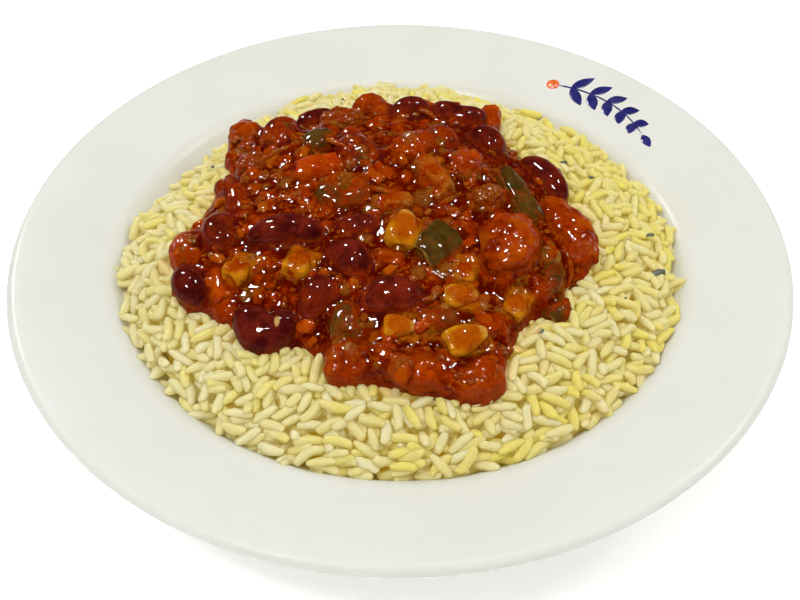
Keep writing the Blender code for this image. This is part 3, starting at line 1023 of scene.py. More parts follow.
# Pieces that are slimmer than their solids, as parts of their width and thickness
SLIM = {
    "kidney_bean_01": 0.80,
    "kidney_bean_07": 0.80,
    "kidney_bean_08": 0.86,
    "kidney_bean_09": 0.72,
    "kidney_bean_10": 0.72,
    "kidney_bean_11": 0.66,
    "tomato_04": 0.80,
    "tomato_05": 0.86,
}
# Thick sauce between the pieces: x, y and radius in mm
BULGES = (
    (-16, -54, 4.5), (-4, -58, 6.5), (13, -62, 6.5), (26, -56, 4), (-58, 34, 6), (58, -20, 5),
    (42, -16, 5.5), (40, -31, 4.5), (26, -46, 4.5), (-12, -37, 4.5), (-38, -27, 4), (-50, -37, 4.5),
    (11, 49, 5), (25, 40, 4.5), (12, 16, 4.5), (-45, 13, 5), (-22, 36, 4.5), (-24, 2, 4), (29, -30, 4),
)


def make_mound(sauce):
    """All of the chili in one skin that has run down off its pieces, less or more."""
    heap = [copy_of(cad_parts["chili"].data, "sauce")]
    for kind in SOLIDS:
        for node, sunk in zip(nodes_of(kind), SUNK[kind]):
            piece = copy_of(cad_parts[node].data, node + "_bulge")
            points = coordinates(piece.data)
            if sunk < 0:
                points -= normals(piece.data) * sunk * MM
            else:
                points -= (0, 0, sunk * MM)
            set_coordinates(piece.data, points)
            heap.append(piece)
    chili = tree_of(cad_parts["chili"].data)
    for x, y, radius in BULGES:
        place, _ = lying_on(chili, x, y)
        place.z -= 0.3 * radius * MM
        bpy.ops.mesh.primitive_ico_sphere_add(subdivisions=3, radius=radius * MM, location=place)
        heap.append(added("bulge"))
    mound = joined(heap, "sauce")
    modified(mound, "REMESH", mode="VOXEL", voxel_size=MOUND_GRID)
    draped(mound, MOUND_FILL, MOUND_GRID)
    modified(mound, "SMOOTH", factor=0.6, iterations=4)
    roughened(mound, 5 * MM, 1.3 * MM)
    points, facing = coordinates(mound.data), normals(mound.data)
    points -= facing * np.where(facing[:, 2:] > -0.2, sauce.bareness, 0)
    points[:, 2] -= np.where(facing[:, 2] < -0.2, 2.0 * MM, 0)
    set_coordinates(mound.data, points)
    return mound


def bare_pieces():
    """The nodes of the pieces that show above the sauce."""
    sunken = ((node, sunk) for kind in SOLIDS for node, sunk in zip(nodes_of(kind), SUNK[kind]))
    return [node for node, sunk in sunken if sunk > BARE_ABOVE]


def lay_lumps(sauce, mound):
    """Matrix with form, kind, radius and tone of each lump, clear of the bare pieces."""
    draw = np.random.default_rng(SEED_SAUCE)
    placings, kinds, reaches, tones = [], [], [], []
    bare = tree_of_nodes(bare_pieces())
    for place, normal in surface_places(mound.data, draw, sauce.lumps):
        kind = int(draw.choice(len(LUMP_KINDS), p=LUMP_SHARES))
        reach = MM * float(np.clip(draw.lognormal(0.55, 0.40), 0.9, 3.6))
        reach *= 0.6 + 0.4 * max(0, normal.z)
        near, outward, _, _ = bare.find_nearest(place)
        if (place - near).dot(outward) < 0.35 * reach and draw.uniform() < 0.9:
            continue
        turn = standing_on(normal) @ Matrix.Rotation(draw.uniform(0, 2 * math.pi), 4, "Z")
        squash = Matrix.Diagonal((*(reach * draw.uniform((0.9, 0.6, 0.6), (1.9, 1.1, 0.95))), 1))
        middle = place - normal * reach * draw.uniform(0.25, 0.6)
        placings.append((int(draw.integers(LUMP_FORMS)), Matrix.Translation(middle) @ turn @ squash))
        kinds.append(kind)
        reaches.append(reach)
        tones.append(draw.uniform())
    return placings, kinds, reaches, tones


def make_sauce(sauce):
    """The mound with its lumps under one smooth skin, painted with what lies right under it."""
    mound = make_mound(sauce)
    placings, kinds, reaches, tones = lay_lumps(sauce, mound)
    lumps = scattered("lumps", lump_forms(), placings, {})
    whole = joined([mound, lumps], "sauce_skin")
    modified(whole, "REMESH", mode="VOXEL", voxel_size=sauce.grid)
    draped(whole, SKIN_FILL, sauce.grid)
    roughened(whole, 2.6 * MM, 0.9 * MM)
    modified(whole, "SMOOTH", factor=0.5, iterations=2)
    whole.data.shade_smooth()
    paint_lumps(whole.data, placings, kinds, reaches, tones)
    points = coordinates(whole.data)
    for kind in SOLIDS:
        paint(whole.data, kind, shows_through(kind, points))
    paint(whole.data, "ridge", ridges(whole.data, 26))
    return whole


def paint_lumps(mesh, placings, kinds, reaches, tones):
    """Stores how near each vertex is to each kind of lump, and the tone of the nearest lump."""
    points = coordinates(mesh)
    tree = KDTree(len(placings))
    for index, (_, matrix) in enumerate(placings):
        tree.insert(matrix.translation, index)
    tree.balance()
    masks = {kind: np.zeros(len(points)) for kind in LUMP_KINDS[1:]}
    tone = np.full(len(points), 0.5)
    for index, point in enumerate(points):
        most = 0
        for _, lump, away in tree.find_n(point, 4):
            near = 1 - (away / reaches[lump] - 0.75) / 0.55
            if near > most:
                most, nearest = min(1, near), lump
        if most > 0:
            tone[index] = 0.5 + (tones[nearest] - 0.5) * most
            if kinds[nearest]:
                masks[LUMP_KINDS[kinds[nearest]]][index] = most * most * (3 - 2 * most)
    for kind, values in masks.items():
        paint(mesh, kind, values)
    paint(mesh, "tone", tone)


def shows_through(kind, points, thickness=1.5 * MM):
    """1 where a piece of that kind lies right under a point, 0 where the sauce over it is thick."""
    tree = tree_of_nodes(nodes_of(kind))
    near = [tree.find_nearest(point, thickness)[3] for point in points]
    return [0 if away is None else 1 - away / thickness for away in near]


def ridges(mesh, rounds):
    """How far each vertex stands out of the smoothed surface, in millimetres."""
    points, facing = coordinates(mesh), normals(mesh)
    pairs = np.empty(len(mesh.edges) * 2, np.int32)
    mesh.edges.foreach_get("vertices", pairs)
    pairs = pairs.reshape(-1, 2)
    ends = np.concatenate([pairs[:, 0], pairs[:, 1]])
    others = np.concatenate([pairs[:, 1], pairs[:, 0]])
    count = len(points)
    valence = np.maximum(np.bincount(ends, minlength=count), 1)
    smooth = points.copy()
    for _ in range(rounds):
        sums = [np.bincount(ends, weights=smooth[others, axis], minlength=count) for axis in range(3)]
        smooth = np.stack(sums, axis=1) / valence[:, None]
    return ((points - smooth) * facing).sum(1) / MM


# Colours of the pieces seen through a little sauce
SHOWN = {
    "kidney_bean": (0.075, 0.007, 0.006),
    "corn": (0.50, 0.150, 0.003),
    "green_pepper": (0.075, 0.050, 0.003),
    "tomato": (0.40, 0.052, 0.0012),
    "red_pepper": (0.42, 0.048, 0.001),
    "onion": (0.34, 0.120, 0.010),
    "mince": (0.26, 0.075, 0.006),
}


def juicy(name, subsurface, radius):
    """A wet material: a clear coat over flesh that lets some light through."""
    return Finish(
        name,
        ior=1.42,
        coat_weight=0.6,
        coat_roughness=0.05,
        coat_ior=1.25,
        specular_ior_level=0.0,
        subsurface_weight=subsurface,
        subsurface_radius=radius,
        subsurface_scale=2.0 * MM,
    )


def wet_relief(finish, depth=1.0):
    """The fine relief that breaks the gloss into small lights, the same over sauce and pieces."""
    crease = abs(finish.noise(3.4 * MM, detail=1, distortion=0.3, shift=2) - 0.5)
    finish.bump(finish.rise(crease, 0, 0.08), 0.22 * MM, depth)
    finish.bump(finish.noise(1.9 * MM, detail=1, shift=6), 0.45 * MM, depth)
    wrinkled = finish.rise(finish.noise(5 * MM, detail=1, shift=12), 0.42, 0.62, 0.30, 1)
    finish.bump(finish.noise(0.8 * MM, detail=2) * wrinkled, 0.32 * MM, depth)


def with_pulp(finish, tone, amount, sauce):
    """Orange pulp and fat as flecks in a thick sauce."""
    pulp = finish.rise(finish.noise(1.5 * MM, detail=2, distortion=0.6, shift=14), 0.53, 0.68)
    patch = finish.rise(finish.noise(9 * MM, detail=1, shift=15), 0.35, 0.65, 0.25, 1)
    return finish.mix(pulp * patch * amount, tone, sauce.pulp)


def sauce_finish(sauce):
    skin = juicy("chili_sauce", 0.12, (1.0, 0.18, 0.05))
    swirl = skin.rise(skin.noise(7 * MM, detail=3, distortion=0.6), 0.32, 0.70)
    tone = skin.mix(swirl, sauce.red, sauce.deep)
    streak = skin.rise(skin.noise(3.2 * MM, detail=3, distortion=0.8, shift=3), 0.50, 0.68)
    tone = skin.mix(streak * 0.55, tone, sauce.orange)
    # Painted light and shade, along with thinner and thicker sauce: ridges lighter orange, hollows deep
    # red
    ridge = skin.attribute("ridge")
    tone = skin.mix(skin.rise(ridge, -0.1, 0.55) * 0.55, tone, sauce.orange)
    tone = skin.mix(skin.rise(ridge, -0.5, 0.02, 0.85, 0), tone, sauce.deep)
    own = skin.attribute("tone")
    tomato = skin.mix(own, toned(sauce.red, 0.8), toned(sauce.orange, 1.15))
    tone = skin.mix(skin.attribute("tomato_lumps") * 0.85, tone, tomato)
    amber = skin.mix(own, sauce.orange, sauce.amber)
    tone = skin.mix(skin.attribute("amber_lumps") * 0.70, tone, amber)
    grit = skin.rise(skin.noise(0.9 * MM, detail=3, roughness=0.7), 0.35, 0.65)
    crumb = skin.mix(grit, toned(sauce.mince, 0.45), sauce.mince)
    tone = with_pulp(skin, tone, 0.60, sauce)
    tone = skin.mix(skin.attribute("mince_lumps") * 0.70, tone, crumb)
    veil = skin.rise(skin.noise(3.0 * MM, detail=4, distortion=0.7, shift=9), 0.30, 0.75, 0.85, 0.15)
    for kind, under in SHOWN.items():
        tone = skin.mix(skin.attribute(kind) * veil, tone, under)
    skin.set(base_color=tone)
    skin.set(roughness=skin.rise(skin.noise(4 * MM, detail=2, shift=5), 0.35, 0.65, 0.16, 0.36))
    wet_relief(skin)
    skin.bump(grit * skin.attribute("mince_lumps"), 0.35 * MM, 0.8)
    return skin


# Small bits that lie half sunk in the sauce

# How many, shortest and longest half length, width and thickness in parts of it, how far out
BIT_KINDS = {
    "mince_bits": (100, 0.9 * MM, 2.5 * MM, (0.8, 0.6), -0.20),
    "tomato_bits": (64, 1.6 * MM, 4.2 * MM, (0.7, 0.42), -0.35),
    "onion_bits": (46, 1.7 * MM, 4.4 * MM, (0.55, 0.28), -0.20),
    "pepper_bits": (22, 1.4 * MM, 3.0 * MM, (0.8, 0.35), -0.10),
}
# Bits that lie in particular places: x and y in mm, heading, half length in mm
PLACED_BITS = {
    "corn_bits": (
        (-53, -22, 0.3, 2.6), (-30, 20, 1.0, 2.2), (-41, -4, 0.5, 2.4), (1, 13, 2.0, 1.9),
        (-3, -33, 0.2, 2.4), (-55, 4, 1.2, 2.4), (-47, -14, 2.1, 1.7),
    ),
    "red_bits": (
        (-26, -46, 0.4, 3.2), (-3, -53, 0.1, 3.4), (6, -51, 1.1, 2.8), (9, 54, 0.2, 3.0),
        (-54, -29, 1.3, 3.0), (20, -20, 0.6, 2.4),
    ),
}
BIT_FORMS = 4
BIT_FILM = 1.6 * MM  # how far above the sauce it still clings to a bit
PIECE_FILM = 1.8 * MM  # and to a piece
HEAP_TOP = 46  # height in mm about which the nearest sauce is looked for, past the heap's edge
# Strands of onion: the way each takes over the sauce, x and y in mm
STRANDS = (
    ((-49, 13), (-47, 18), (-43, 23), (-38, 27), (-32, 28)),
    ((-34, 35), (-29, 29), (-24, 26), (-19, 21), (-15, 16)),
    ((15, 15), (19, 14), (23, 11), (24, 7), (21, 3)),
    ((-55, -7), (-56, -11), (-56, -15), (-55, -18), (-53, -21)),
    ((-40, 0), (-35, 2), (-31, -1), (-27, -5), (-26, -10)),
    ((-16, -3), (-12, -1), (-8, 1), (-4, 0), (-1, -5)),
    ((-20, -30), (-18, -27), (-15, -26), (-11, -27), (-9, -30)),
    ((2, -44), (6, -44), (9, -42), (12, -39), (14, -35)),
    ((37, 5), (40, 2), (42, -1), (43, -6), (42, -10)),
    ((0, 47), (4, 50), (8, 50), (11, 47), (13, 42)),
    ((48, -16), (50, -18), (51, -20), (51, -23), (49, -26)),
)
STRAND_RADIUS = 1.0 * MM
STRAND_WIDTHS = (0.3, 0.9, 1.2, 1.0, 0.3)  # along the way, in parts of the radius
# Herbs on the rice: x and y in mm, half length in mm
HERBS = (
    (79, -14, 2.2), (78, 0, 1.2), (54, 33, 1.3), (62, 24, 1.0), (40, -45, 0.9), (52, 27, 0.9),
    (-62, 34, 0.8), (-70, -18, 0.7), (66, -30, 0.8), (30, 66, 1.0), (-20, 70, 0.7),
)


def bit_forms(kind):
    """A few forms of half length 1 round the origin, lying along X."""
    draw = np.random.default_rng(len(kind))
    meshes = []
    for number in range(BIT_FORMS):
        if kind in ("onion_bits", "pepper_bits"):
            form = slab_form(0.3, 1)
            points = coordinates(form)
            points[:, 2] -= 0.5 * draw.uniform(0, 1) * points[:, 0] ** 2
            set_coordinates(form, points)
            meshes.append(form)
        elif kind == "mince_bits":
            meshes.append(lump_form(0.55, 1.0, levels=3, shift=number * 5, boxy=0.8))
        elif kind == "red_bits":
            meshes.append(lump_form(0.7, 1.1, levels=3, shift=number * 5, boxy=0.7))
        else:
            meshes.append(lump_form(0.8, 0.5, levels=3, shift=number * 5, boxy=0.55))
    return meshes


def lying_on(tree, x, y):
    """Place and normal of a surface under a point in mm, or nearest to it where it is past the edge."""
    place, normal = below(tree, x * MM, y * MM)
    if not place:
        place, normal, _, _ = tree.find_nearest(Vector((x, y, HEAP_TOP)) * MM)
    return place, normal


def place_bits(kind, under, sizes, sunk):
    """Bits in their own places, on what is under them.

    sizes are width and thickness in parts of the length.
    """
    draw = np.random.default_rng(SEED_SAUCE + len(kind))
    wide, thick = sizes
    placings, tones = [], []
    for x, y, heading, reach in PLACED_BITS[kind]:
        place, normal = lying_on(under, x, y)
        reach *= MM
        turn = standing_on(normal) @ Matrix.Rotation(heading, 4, "Z")
        size = Matrix.Diagonal((reach, reach * wide, reach * thick, 1))
        middle = place + normal * reach * thick * (1 - sunk)
        placings.append((int(draw.integers(BIT_FORMS)), Matrix.Translation(middle) @ turn @ size))
        tones.append(draw.uniform())
    return scattered(kind, bit_forms(kind), placings, {"tone": tones})


def make_strands(under):
    """Strands that follow the sauce, half sunk in it, thin at their ends."""
    strands = []
    for way in STRANDS:
        deselect()
        bpy.ops.curve.primitive_nurbs_path_add(radius=1)
        strand = bpy.context.object
        controls = strand.data.splines[0].points
        for point, (x, y), wide in zip(controls, way, STRAND_WIDTHS):
            place, _ = lying_on(under, x, y)
            point.co = (place.x, place.y, place.z - 0.1 * MM, 1)
            point.radius = wide
        strand.data.bevel_depth = STRAND_RADIUS
        strand.data.bevel_resolution = 2
        strand.data.use_fill_caps = True
        bpy.ops.object.convert(target="MESH")
        strands.append(added("strand"))
    whole = joined(strands, "onion_strands")
    modified(whole, "WELD", merge_threshold=0.02 * MM)
    roughened(whole, 1.6 * MM, 0.9 * MM)
    whole.data.shade_smooth()
    return whole


def make_herbs():
    """Flecks of herb on the rice, a little curled."""
    draw = np.random.default_rng(SEED_HERBS)
    names = ("rice_grains", "rice_grains_yellow", "plate_glazed")
    trees = [tree_of(bpy.data.objects[name].data) for name in names]
    placings = []
    for x, y, reach in HERBS:
        hits = [below(tree, x * MM, y * MM)[0] for tree in trees]
        top = max(filter(None, hits), key=lambda hit: hit.z)
        turn = Euler((draw.normal(0, 0.3), draw.normal(0, 0.3), draw.uniform(0, math.pi)))
        size = Matrix.Diagonal((reach * MM, reach * 0.55 * MM, reach * 0.35 * MM, 1))
        lifted = Matrix.Translation(top + Vector((0, 0, 0.2 * MM)))
        placings.append((int(draw.integers(BIT_FORMS)), lifted @ turn.to_matrix().to_4x4() @ size))
    return scattered("herb_flecks", bit_forms("pepper_bits"), placings, {})


def herb_finish():
    herb = Finish("dried_herb", roughness=0.6)
    herb.set(base_color=herb.mix(herb.noise(0.8 * MM), (0.020, 0.030, 0.004), (0.065, 0.075, 0.012)))
    herb.bump(herb.noise(0.6 * MM), 0.1 * MM)
    return herb


def scatter_bits(kind, skin, pieces):
    """Bits on the upper side of the sauce, clear of the large pieces."""
    count, shortest, longest, (wide, thick), out = BIT_KINDS[kind]
    draw = np.random.default_rng(SEED_SAUCE + len(kind) + count)
    placings, tones = [], []
    for place, normal in surface_places(skin.data, draw, count * 3, least_up=0.5):
        reach = shortest + (longest - shortest) * draw.uniform() ** 1.8
        away = pieces.find_nearest(place)[3]
        if away < 0.45 * reach or len(placings) == count:
            continue
        turn = standing_on(normal) @ Matrix.Rotation(draw.uniform(0, 2 * math.pi), 4, "Z")
        turn = turn @ Matrix.Rotation(draw.normal(0, 0.25), 4, "X")
        size = Matrix.Diagonal((reach, reach * wide, reach * thick, 1))
        middle = place + normal * reach * thick * (out + draw.uniform(-0.3, 0.3))
        placings.append((int(draw.integers(BIT_FORMS)), Matrix.Translation(middle) @ turn @ size))
        tones.append(draw.uniform())
    return scattered(kind, bit_forms(kind), placings, {"tone": tones})


# Pieces in the sauce: each form fills a box from -1 to 1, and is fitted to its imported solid


def fitted(piece):
    """Scales a form so that it just fills the box from -1 to 1, and returns its mesh."""
    points = coordinates(piece.data)
    low, high = points.min(0), points.max(0)
    set_coordinates(piece.data, (points - (low + high) / 2) / ((high - low) / 2))
    piece.data.shade_smooth()
    return mesh_of(piece)


def seat_of(node, bent):
    """The matrix that fits a form into its solid.

    X runs along the solid's length. Its ends turn to -Y where bent is "Y", as a bean's do, and its
    edges to -Z where bent is "Z", as those of a curled slab.
    """
    points = np.unique(np.round(coordinates(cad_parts[node].data), 7), axis=0)
    middle = points.mean(0)
    away = points - middle
    _, axes = np.linalg.eigh(away.T @ away)
    long_axis = axes[:, 2]
    along = away @ long_axis
    if bent == "Y":
        off_axis = away - np.outer(along, long_axis)
        lean = ((along ** 2 - (along ** 2).mean())[:, None] * off_axis).sum(0)
        other = -lean / np.linalg.norm(lean)
        basis = np.array([long_axis, other, np.cross(long_axis, other)])
    else:
        flat = axes[:, 0]
        across = away @ axes[:, 1]
        curl = ((across ** 2 - (across ** 2).mean()) * (away @ flat)).sum()
        up = flat * (-1 if curl > 0 else 1)
        basis = np.array([long_axis, np.cross(up, long_axis), up])
    spans = away @ basis.T
    low, high = spans.min(0), spans.max(0)
    half = (high - low) / 2
    centre = middle + ((low + high) / 2) @ basis
    matrix = np.eye(4)
    matrix[:3, :3] = basis.T * half
    matrix[:3, 3] = centre
    return matrix


def lying_sphere(name):
    """A sphere of radius 1 with its poles on X."""
    deselect()
    bpy.ops.mesh.primitive_uv_sphere_add(
        segments=24, ring_count=18, radius=1, rotation=(0, math.pi / 2, 0)
    )
    return added(name)


def bean_form():
    """A kidney bean whose ends bend to -Y, with the pale scar in the middle of its hollow side."""
    bean = lying_sphere("bean")
    points = coordinates(bean.data)
    points = np.sign(points) * np.abs(points) ** 0.93
    x, y, z = points.T
    dimple = 0.20 * np.exp(-((x / 0.30) ** 2)) * np.maximum(0, -y)
    points = np.stack([x, y * 0.86 - 0.33 * x * x + dimple, z * (1 - 0.06 * x)], axis=1)
    set_coordinates(bean.data, points)
    paint(bean.data, "scar", np.exp(-((x / 0.13) ** 2) - (z / 0.10) ** 2) * (y < 0))
    subdivided(bean, 1)
    return fitted(bean)


def corn_form():
    """A corn kernel: plump, with a dented crown at +X and its narrow root at -X."""
    kernel = lying_sphere("kernel")
    points = coordinates(kernel.data)
    x, y, z = (np.sign(points) * np.abs(points) ** 0.72).T
    taper = 0.52 + 0.48 / (1 + np.exp(-3.2 * (x + 0.25)))
    dent = 0.24 * np.exp(-(y ** 2 + z ** 2) / 0.22) * (x > 0)
    groove = 0.16 * np.exp(-((y / 0.28) ** 2)) * np.clip(x, 0, 1)
    points = np.stack([x - dent, y * taper, z * taper * (1 - groove)], axis=1)
    set_coordinates(kernel.data, points)
    subdivided(kernel, 1)
    points = coordinates(kernel.data)
    paint(kernel.data, "root", np.clip((-0.62 - points[:, 0]) / 0.3, 0, 1))
    paint(kernel.data, "edge", np.clip((np.hypot(points[:, 0], points[:, 1]) - 0.5) / 0.4, 0, 1))
    return fitted(kernel)


def slab_form(thickness, levels=2):
    """A cut square of pepper, curled so that its edges turn to -Z, with its skin on the +Z side."""
    deselect()
    bpy.ops.mesh.primitive_cube_add(size=2)
    slab = added("slab")
    edit(slab)
    bpy.ops.transform.resize(value=(1, 1, thickness))
    bpy.ops.mesh.subdivide(number_cuts=3)
    edited()
    modified(slab, "BEVEL", width=0.12, segments=levels, limit_method="ANGLE")
    subdivided(slab, levels)
    points = coordinates(slab.data)
    x, y, z = points.T
    skin = np.clip(z / thickness * 1.5, 0, 1)
    uneven = 1 + 0.07 * np.sin(2.3 * y + 1) + 0.05 * np.sin(4.1 * y)
    ragged = 1 + 0.08 * np.sin(2.7 * x + 2) + 0.04 * np.sin(5.3 * x)
    curl = -0.42 * y * y - 0.16 * x * x + 0.05 * np.sin(3 * x + 2 * y)
    points = np.stack([x * uneven, y * ragged, z + curl], axis=1)
    set_coordinates(slab.data, points)
    paint(slab.data, "skin", skin)
    return fitted(slab)


def lump_form(size, depth, levels=5, shift=0, boxy=1.0):
    """A lump with bulges of that size; shift picks another shape, boxy below 1 squares it."""
    deselect()
    bpy.ops.mesh.primitive_ico_sphere_add(subdivisions=levels, radius=1)
    lump = added("lump")
    points = coordinates(lump.data)
    set_coordinates(lump.data, np.sign(points) * np.abs(points) ** boxy + (shift, 0, 0))
    roughened(lump, size, depth)
    return fitted(lump)


def fit_piece(node, form, bent):
    """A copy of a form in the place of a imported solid."""
    seat = seat_of(node, bent)
    mesh = form.copy()
    slim = SLIM.get(node, 1)
    points = coordinates(mesh) * (1, slim, slim)
    set_coordinates(mesh, points @ seat[:3, :3].T + seat[:3, 3])
    piece = bpy.data.objects.new(node + "_looks", mesh)
    bpy.context.scene.collection.objects.link(piece)
    edit(piece)
    bpy.ops.mesh.normals_make_consistent(inside=False)
    edited()
    return piece


def coat_with_sauce(piece, sauce, reach):
    """Stores how thickly the sauce covers each vertex: 1 at the sauce's surface, 0 well above it."""
    film = []
    for point in coordinates(piece.data):
        near, normal, _, away = sauce.find_nearest(Vector(point))
        above = (Vector(point) - near).dot(normal) > 0
        film.append(max(0, 1 - away / reach) if above else 1)
    paint(piece.data, "film", film)


def with_film(finish, tone, amount, sauce):
    """A piece's colour under sauce that is thick low on the piece and patchy above."""
    patch = finish.rise(finish.noise(3.0 * MM, detail=4, distortion=0.7, shift=9), 0.38, 0.72)
    film = finish.attribute("film") * 0.85 + patch * amount
    wet = finish.mix(finish.noise(4.5 * MM, detail=2), sauce.red, sauce.orange)
    wet = with_pulp(finish, wet, 0.5, sauce)
    return finish.mix(finish.rise(film, 0.05, 1.15), tone, wet)


def sauced(finish, tone, film, sauce, gloss, relief, size=2 * MM):
    """Sets a piece's colour under its film of sauce, its gloss from and to, and its wet relief."""
    finish.set(base_color=with_film(finish, tone, film, sauce))
    finish.set(roughness=finish.rise(finish.noise(size), 0.3, 0.7, *gloss))
    wet_relief(finish, relief)
    return finish


def bean_finish(sauce):
    bean = juicy("bean_skin", 0.05, (1.0, 0.2, 0.1))
    mottle = bean.rise(bean.noise(5 * MM, detail=4, distortion=0.4), 0.35, 0.70)
    tone = bean.mix(mottle, (0.052, 0.0035, 0.003), (0.150, 0.013, 0.006))
    vein = bean.rise(bean.noise(1.6 * MM, detail=3, stretch=(1, 2.5, 1)), 0.55, 0.75)
    tone = bean.mix(vein * 0.25, tone, (0.20, 0.045, 0.02))
    tone = with_film(bean, tone, 0.24, sauce)
    tone = bean.mix(bean.rise(bean.attribute("scar"), 0.35, 0.7), tone, (0.50, 0.28, 0.09))
    bean.set(base_color=tone)
    bean.set(roughness=bean.rise(bean.noise(2 * MM), 0.3, 0.7, 0.18, 0.34))
    bean.bump(bean.noise(0.9 * MM, detail=1, shift=16), 0.16 * MM)
    wet_relief(bean)
    return bean


def corn_finish(sauce):
    corn = juicy("corn_skin", 0.25, (1.0, 0.5, 0.08))
    mottle = corn.rise(corn.noise(3.2 * MM, detail=3), 0.3, 0.7)
    edge = corn.rise(corn.attribute("edge") - mottle * 0.6, -0.2, 0.8)
    tone = corn.mix(edge, (0.37, 0.070, 0.001), (0.54, 0.205, 0.004))
    tone = corn.mix(corn.attribute("root") * 0.6, tone, (0.58, 0.40, 0.09))
    return sauced(corn, tone, 0.50, sauce, (0.2, 0.34), 0.8)


def green_finish(sauce):
    green = juicy("green_pepper_skin", 0.12, (0.6, 0.6, 0.1))
    mottle = green.rise(green.noise(4 * MM, detail=4), 0.3, 0.7)
    tone = green.mix(mottle, (0.038, 0.022, 0.003), (0.097, 0.049, 0.008))
    flesh = green.mix(green.noise(1.5 * MM, detail=3), (0.24, 0.14, 0.016), (0.34, 0.22, 0.04))
    tone = green.mix(green.attribute("skin"), flesh, tone)
    return sauced(green, tone, 0.45, sauce, (0.15, 0.3), 0.8)


def red_pepper_finish(sauce):
    red = juicy("red_pepper_skin", 0.08, (1.0, 0.25, 0.05))
    mottle = red.rise(red.noise(4 * MM, detail=3), 0.3, 0.7)
    tone = red.mix(mottle, (0.36, 0.028, 0.0012), (0.47, 0.075, 0.002))
    return sauced(red, tone, 0.60, sauce, (0.16, 0.3), 0.8)


def tomato_finish(sauce):
    tomato = juicy("tomato_flesh", 0.16, (1.0, 0.2, 0.05))
    mottle = tomato.rise(tomato.noise(5 * MM, detail=4, distortion=0.7), 0.33, 0.68)
    tone = tomato.mix(mottle, (0.160, 0.009, 0.0005), (0.34, 0.037, 0.0011))
    fibre = tomato.rise(tomato.noise(1.1 * MM, detail=3, stretch=(0.35, 1, 1)), 0.52, 0.70)
    tone = tomato.mix(fibre * 0.30, tone, (0.45, 0.090, 0.004))
    ripe = tomato.rise(tomato.noise(8 * MM, detail=2, shift=8), 0.48, 0.62)
    tone = tomato.mix(ripe * 0.50, tone, (0.46, 0.090, 0.002))
    tomato.bump(tomato.noise(4.5 * MM, detail=1, distortion=0.8, stretch=(0.6, 1, 1)), 1.2 * MM)
    return sauced(tomato, tone, 0.22, sauce, (0.14, 0.32), 0.55, 3 * MM)


def onion_finish(sauce):
    onion = juicy("stewed_onion", 0.3, (1.0, 0.45, 0.12))
    fibre = onion.noise(1.6 * MM, detail=4, distortion=0.6)
    tone = onion.mix(onion.rise(fibre, 0.35, 0.65), (0.18, 0.038, 0.002), (0.36, 0.135, 0.018))
    clear = onion.rise(onion.noise(9 * MM, detail=2, shift=7), 0.42, 0.58)
    tone = onion.mix(clear * 0.8, tone, (0.36, 0.075, 0.003))
    onion.bump(fibre, 0.35 * MM, 0.7)
    return sauced(onion, tone, 0.90, sauce, (0.16, 0.3), 0.8)


def mince_finish(sauce):
    mince = juicy("cooked_mince", 0.08, (1.0, 0.4, 0.2))
    grit = mince.rise(mince.noise(0.9 * MM, detail=4, roughness=0.7), 0.33, 0.68)
    tone = mince.mix(grit, (0.16, 0.026, 0.002), (0.40, 0.115, 0.010))
    mince.set(base_color=with_film(mince, tone, 0.50, sauce))
    mince.set(roughness=mince.rise(grit, 0, 1, 0.45, 0.28))
    mince.bump(grit, 0.35 * MM, 0.7)
    wet_relief(mince)
    return mince


# Pale scars that show on the upper side of a bean: x and y in mm
SCARS = {"kidney_bean_02": (-34.1, -47.3)}
SCAR_SIZE = 0.9 * MM, 2.0 * MM


def scarred(piece, x, y):
    """Moves a bean's scar to a place on its upper side."""
    place, normal = below(tree_of(piece.data), x * MM, y * MM)
    away = coordinates(piece.data) - place
    across = away[:, 0] / SCAR_SIZE[0]
    along = away @ normal.cross((-1, 0, 0)) / SCAR_SIZE[1]
    paint(piece.data, "scar", np.exp(-across ** 2 - along ** 2))


def make_pieces(kind, form, bent, finish, relief):
    """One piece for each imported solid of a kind."""
    sauce = skin_tree()
    for node in nodes_of(kind):
        piece = fit_piece(node, form, bent)
        roughened(piece, *relief)
        if node in SCARS:
            scarred(piece, *SCARS[node])
        piece.data.shade_smooth()
        coat_with_sauce(piece, sauce, PIECE_FILM)
        finished(piece, node + "_looks", finish, kind, node)


# Stage

# Small lamps that only the wet surfaces mirror: place and size in metres
LAMPS = (
    (-0.30, -0.42, 0.83, 0.12),
    (-0.46, 0.58, 0.66, 0.10),
    (0.08, 0.12, 0.99, 0.07),
    (0.60, 0.20, 0.77, 0.08),
)
LAMP_SIZE = 0.1  # of a lamp with the power that the settings give
FLOOR_SIZE = 1.7
SENSOR_WIDTH = 36  # in mm


def area_light(name, place, target, size, power, in_gloss=True, in_diffuse=True):
    """A square lamp, turned to its target."""
    bpy.ops.object.light_add(type="AREA", location=place)
    light = bpy.context.object
    light.name = name
    light.data.size = size
    light.data.energy = power
    light.visible_glossy = in_gloss
    light.visible_diffuse = in_diffuse
    light.rotation_euler = (Vector(target) - Vector(place)).to_track_quat("-Z", "Y").to_euler()


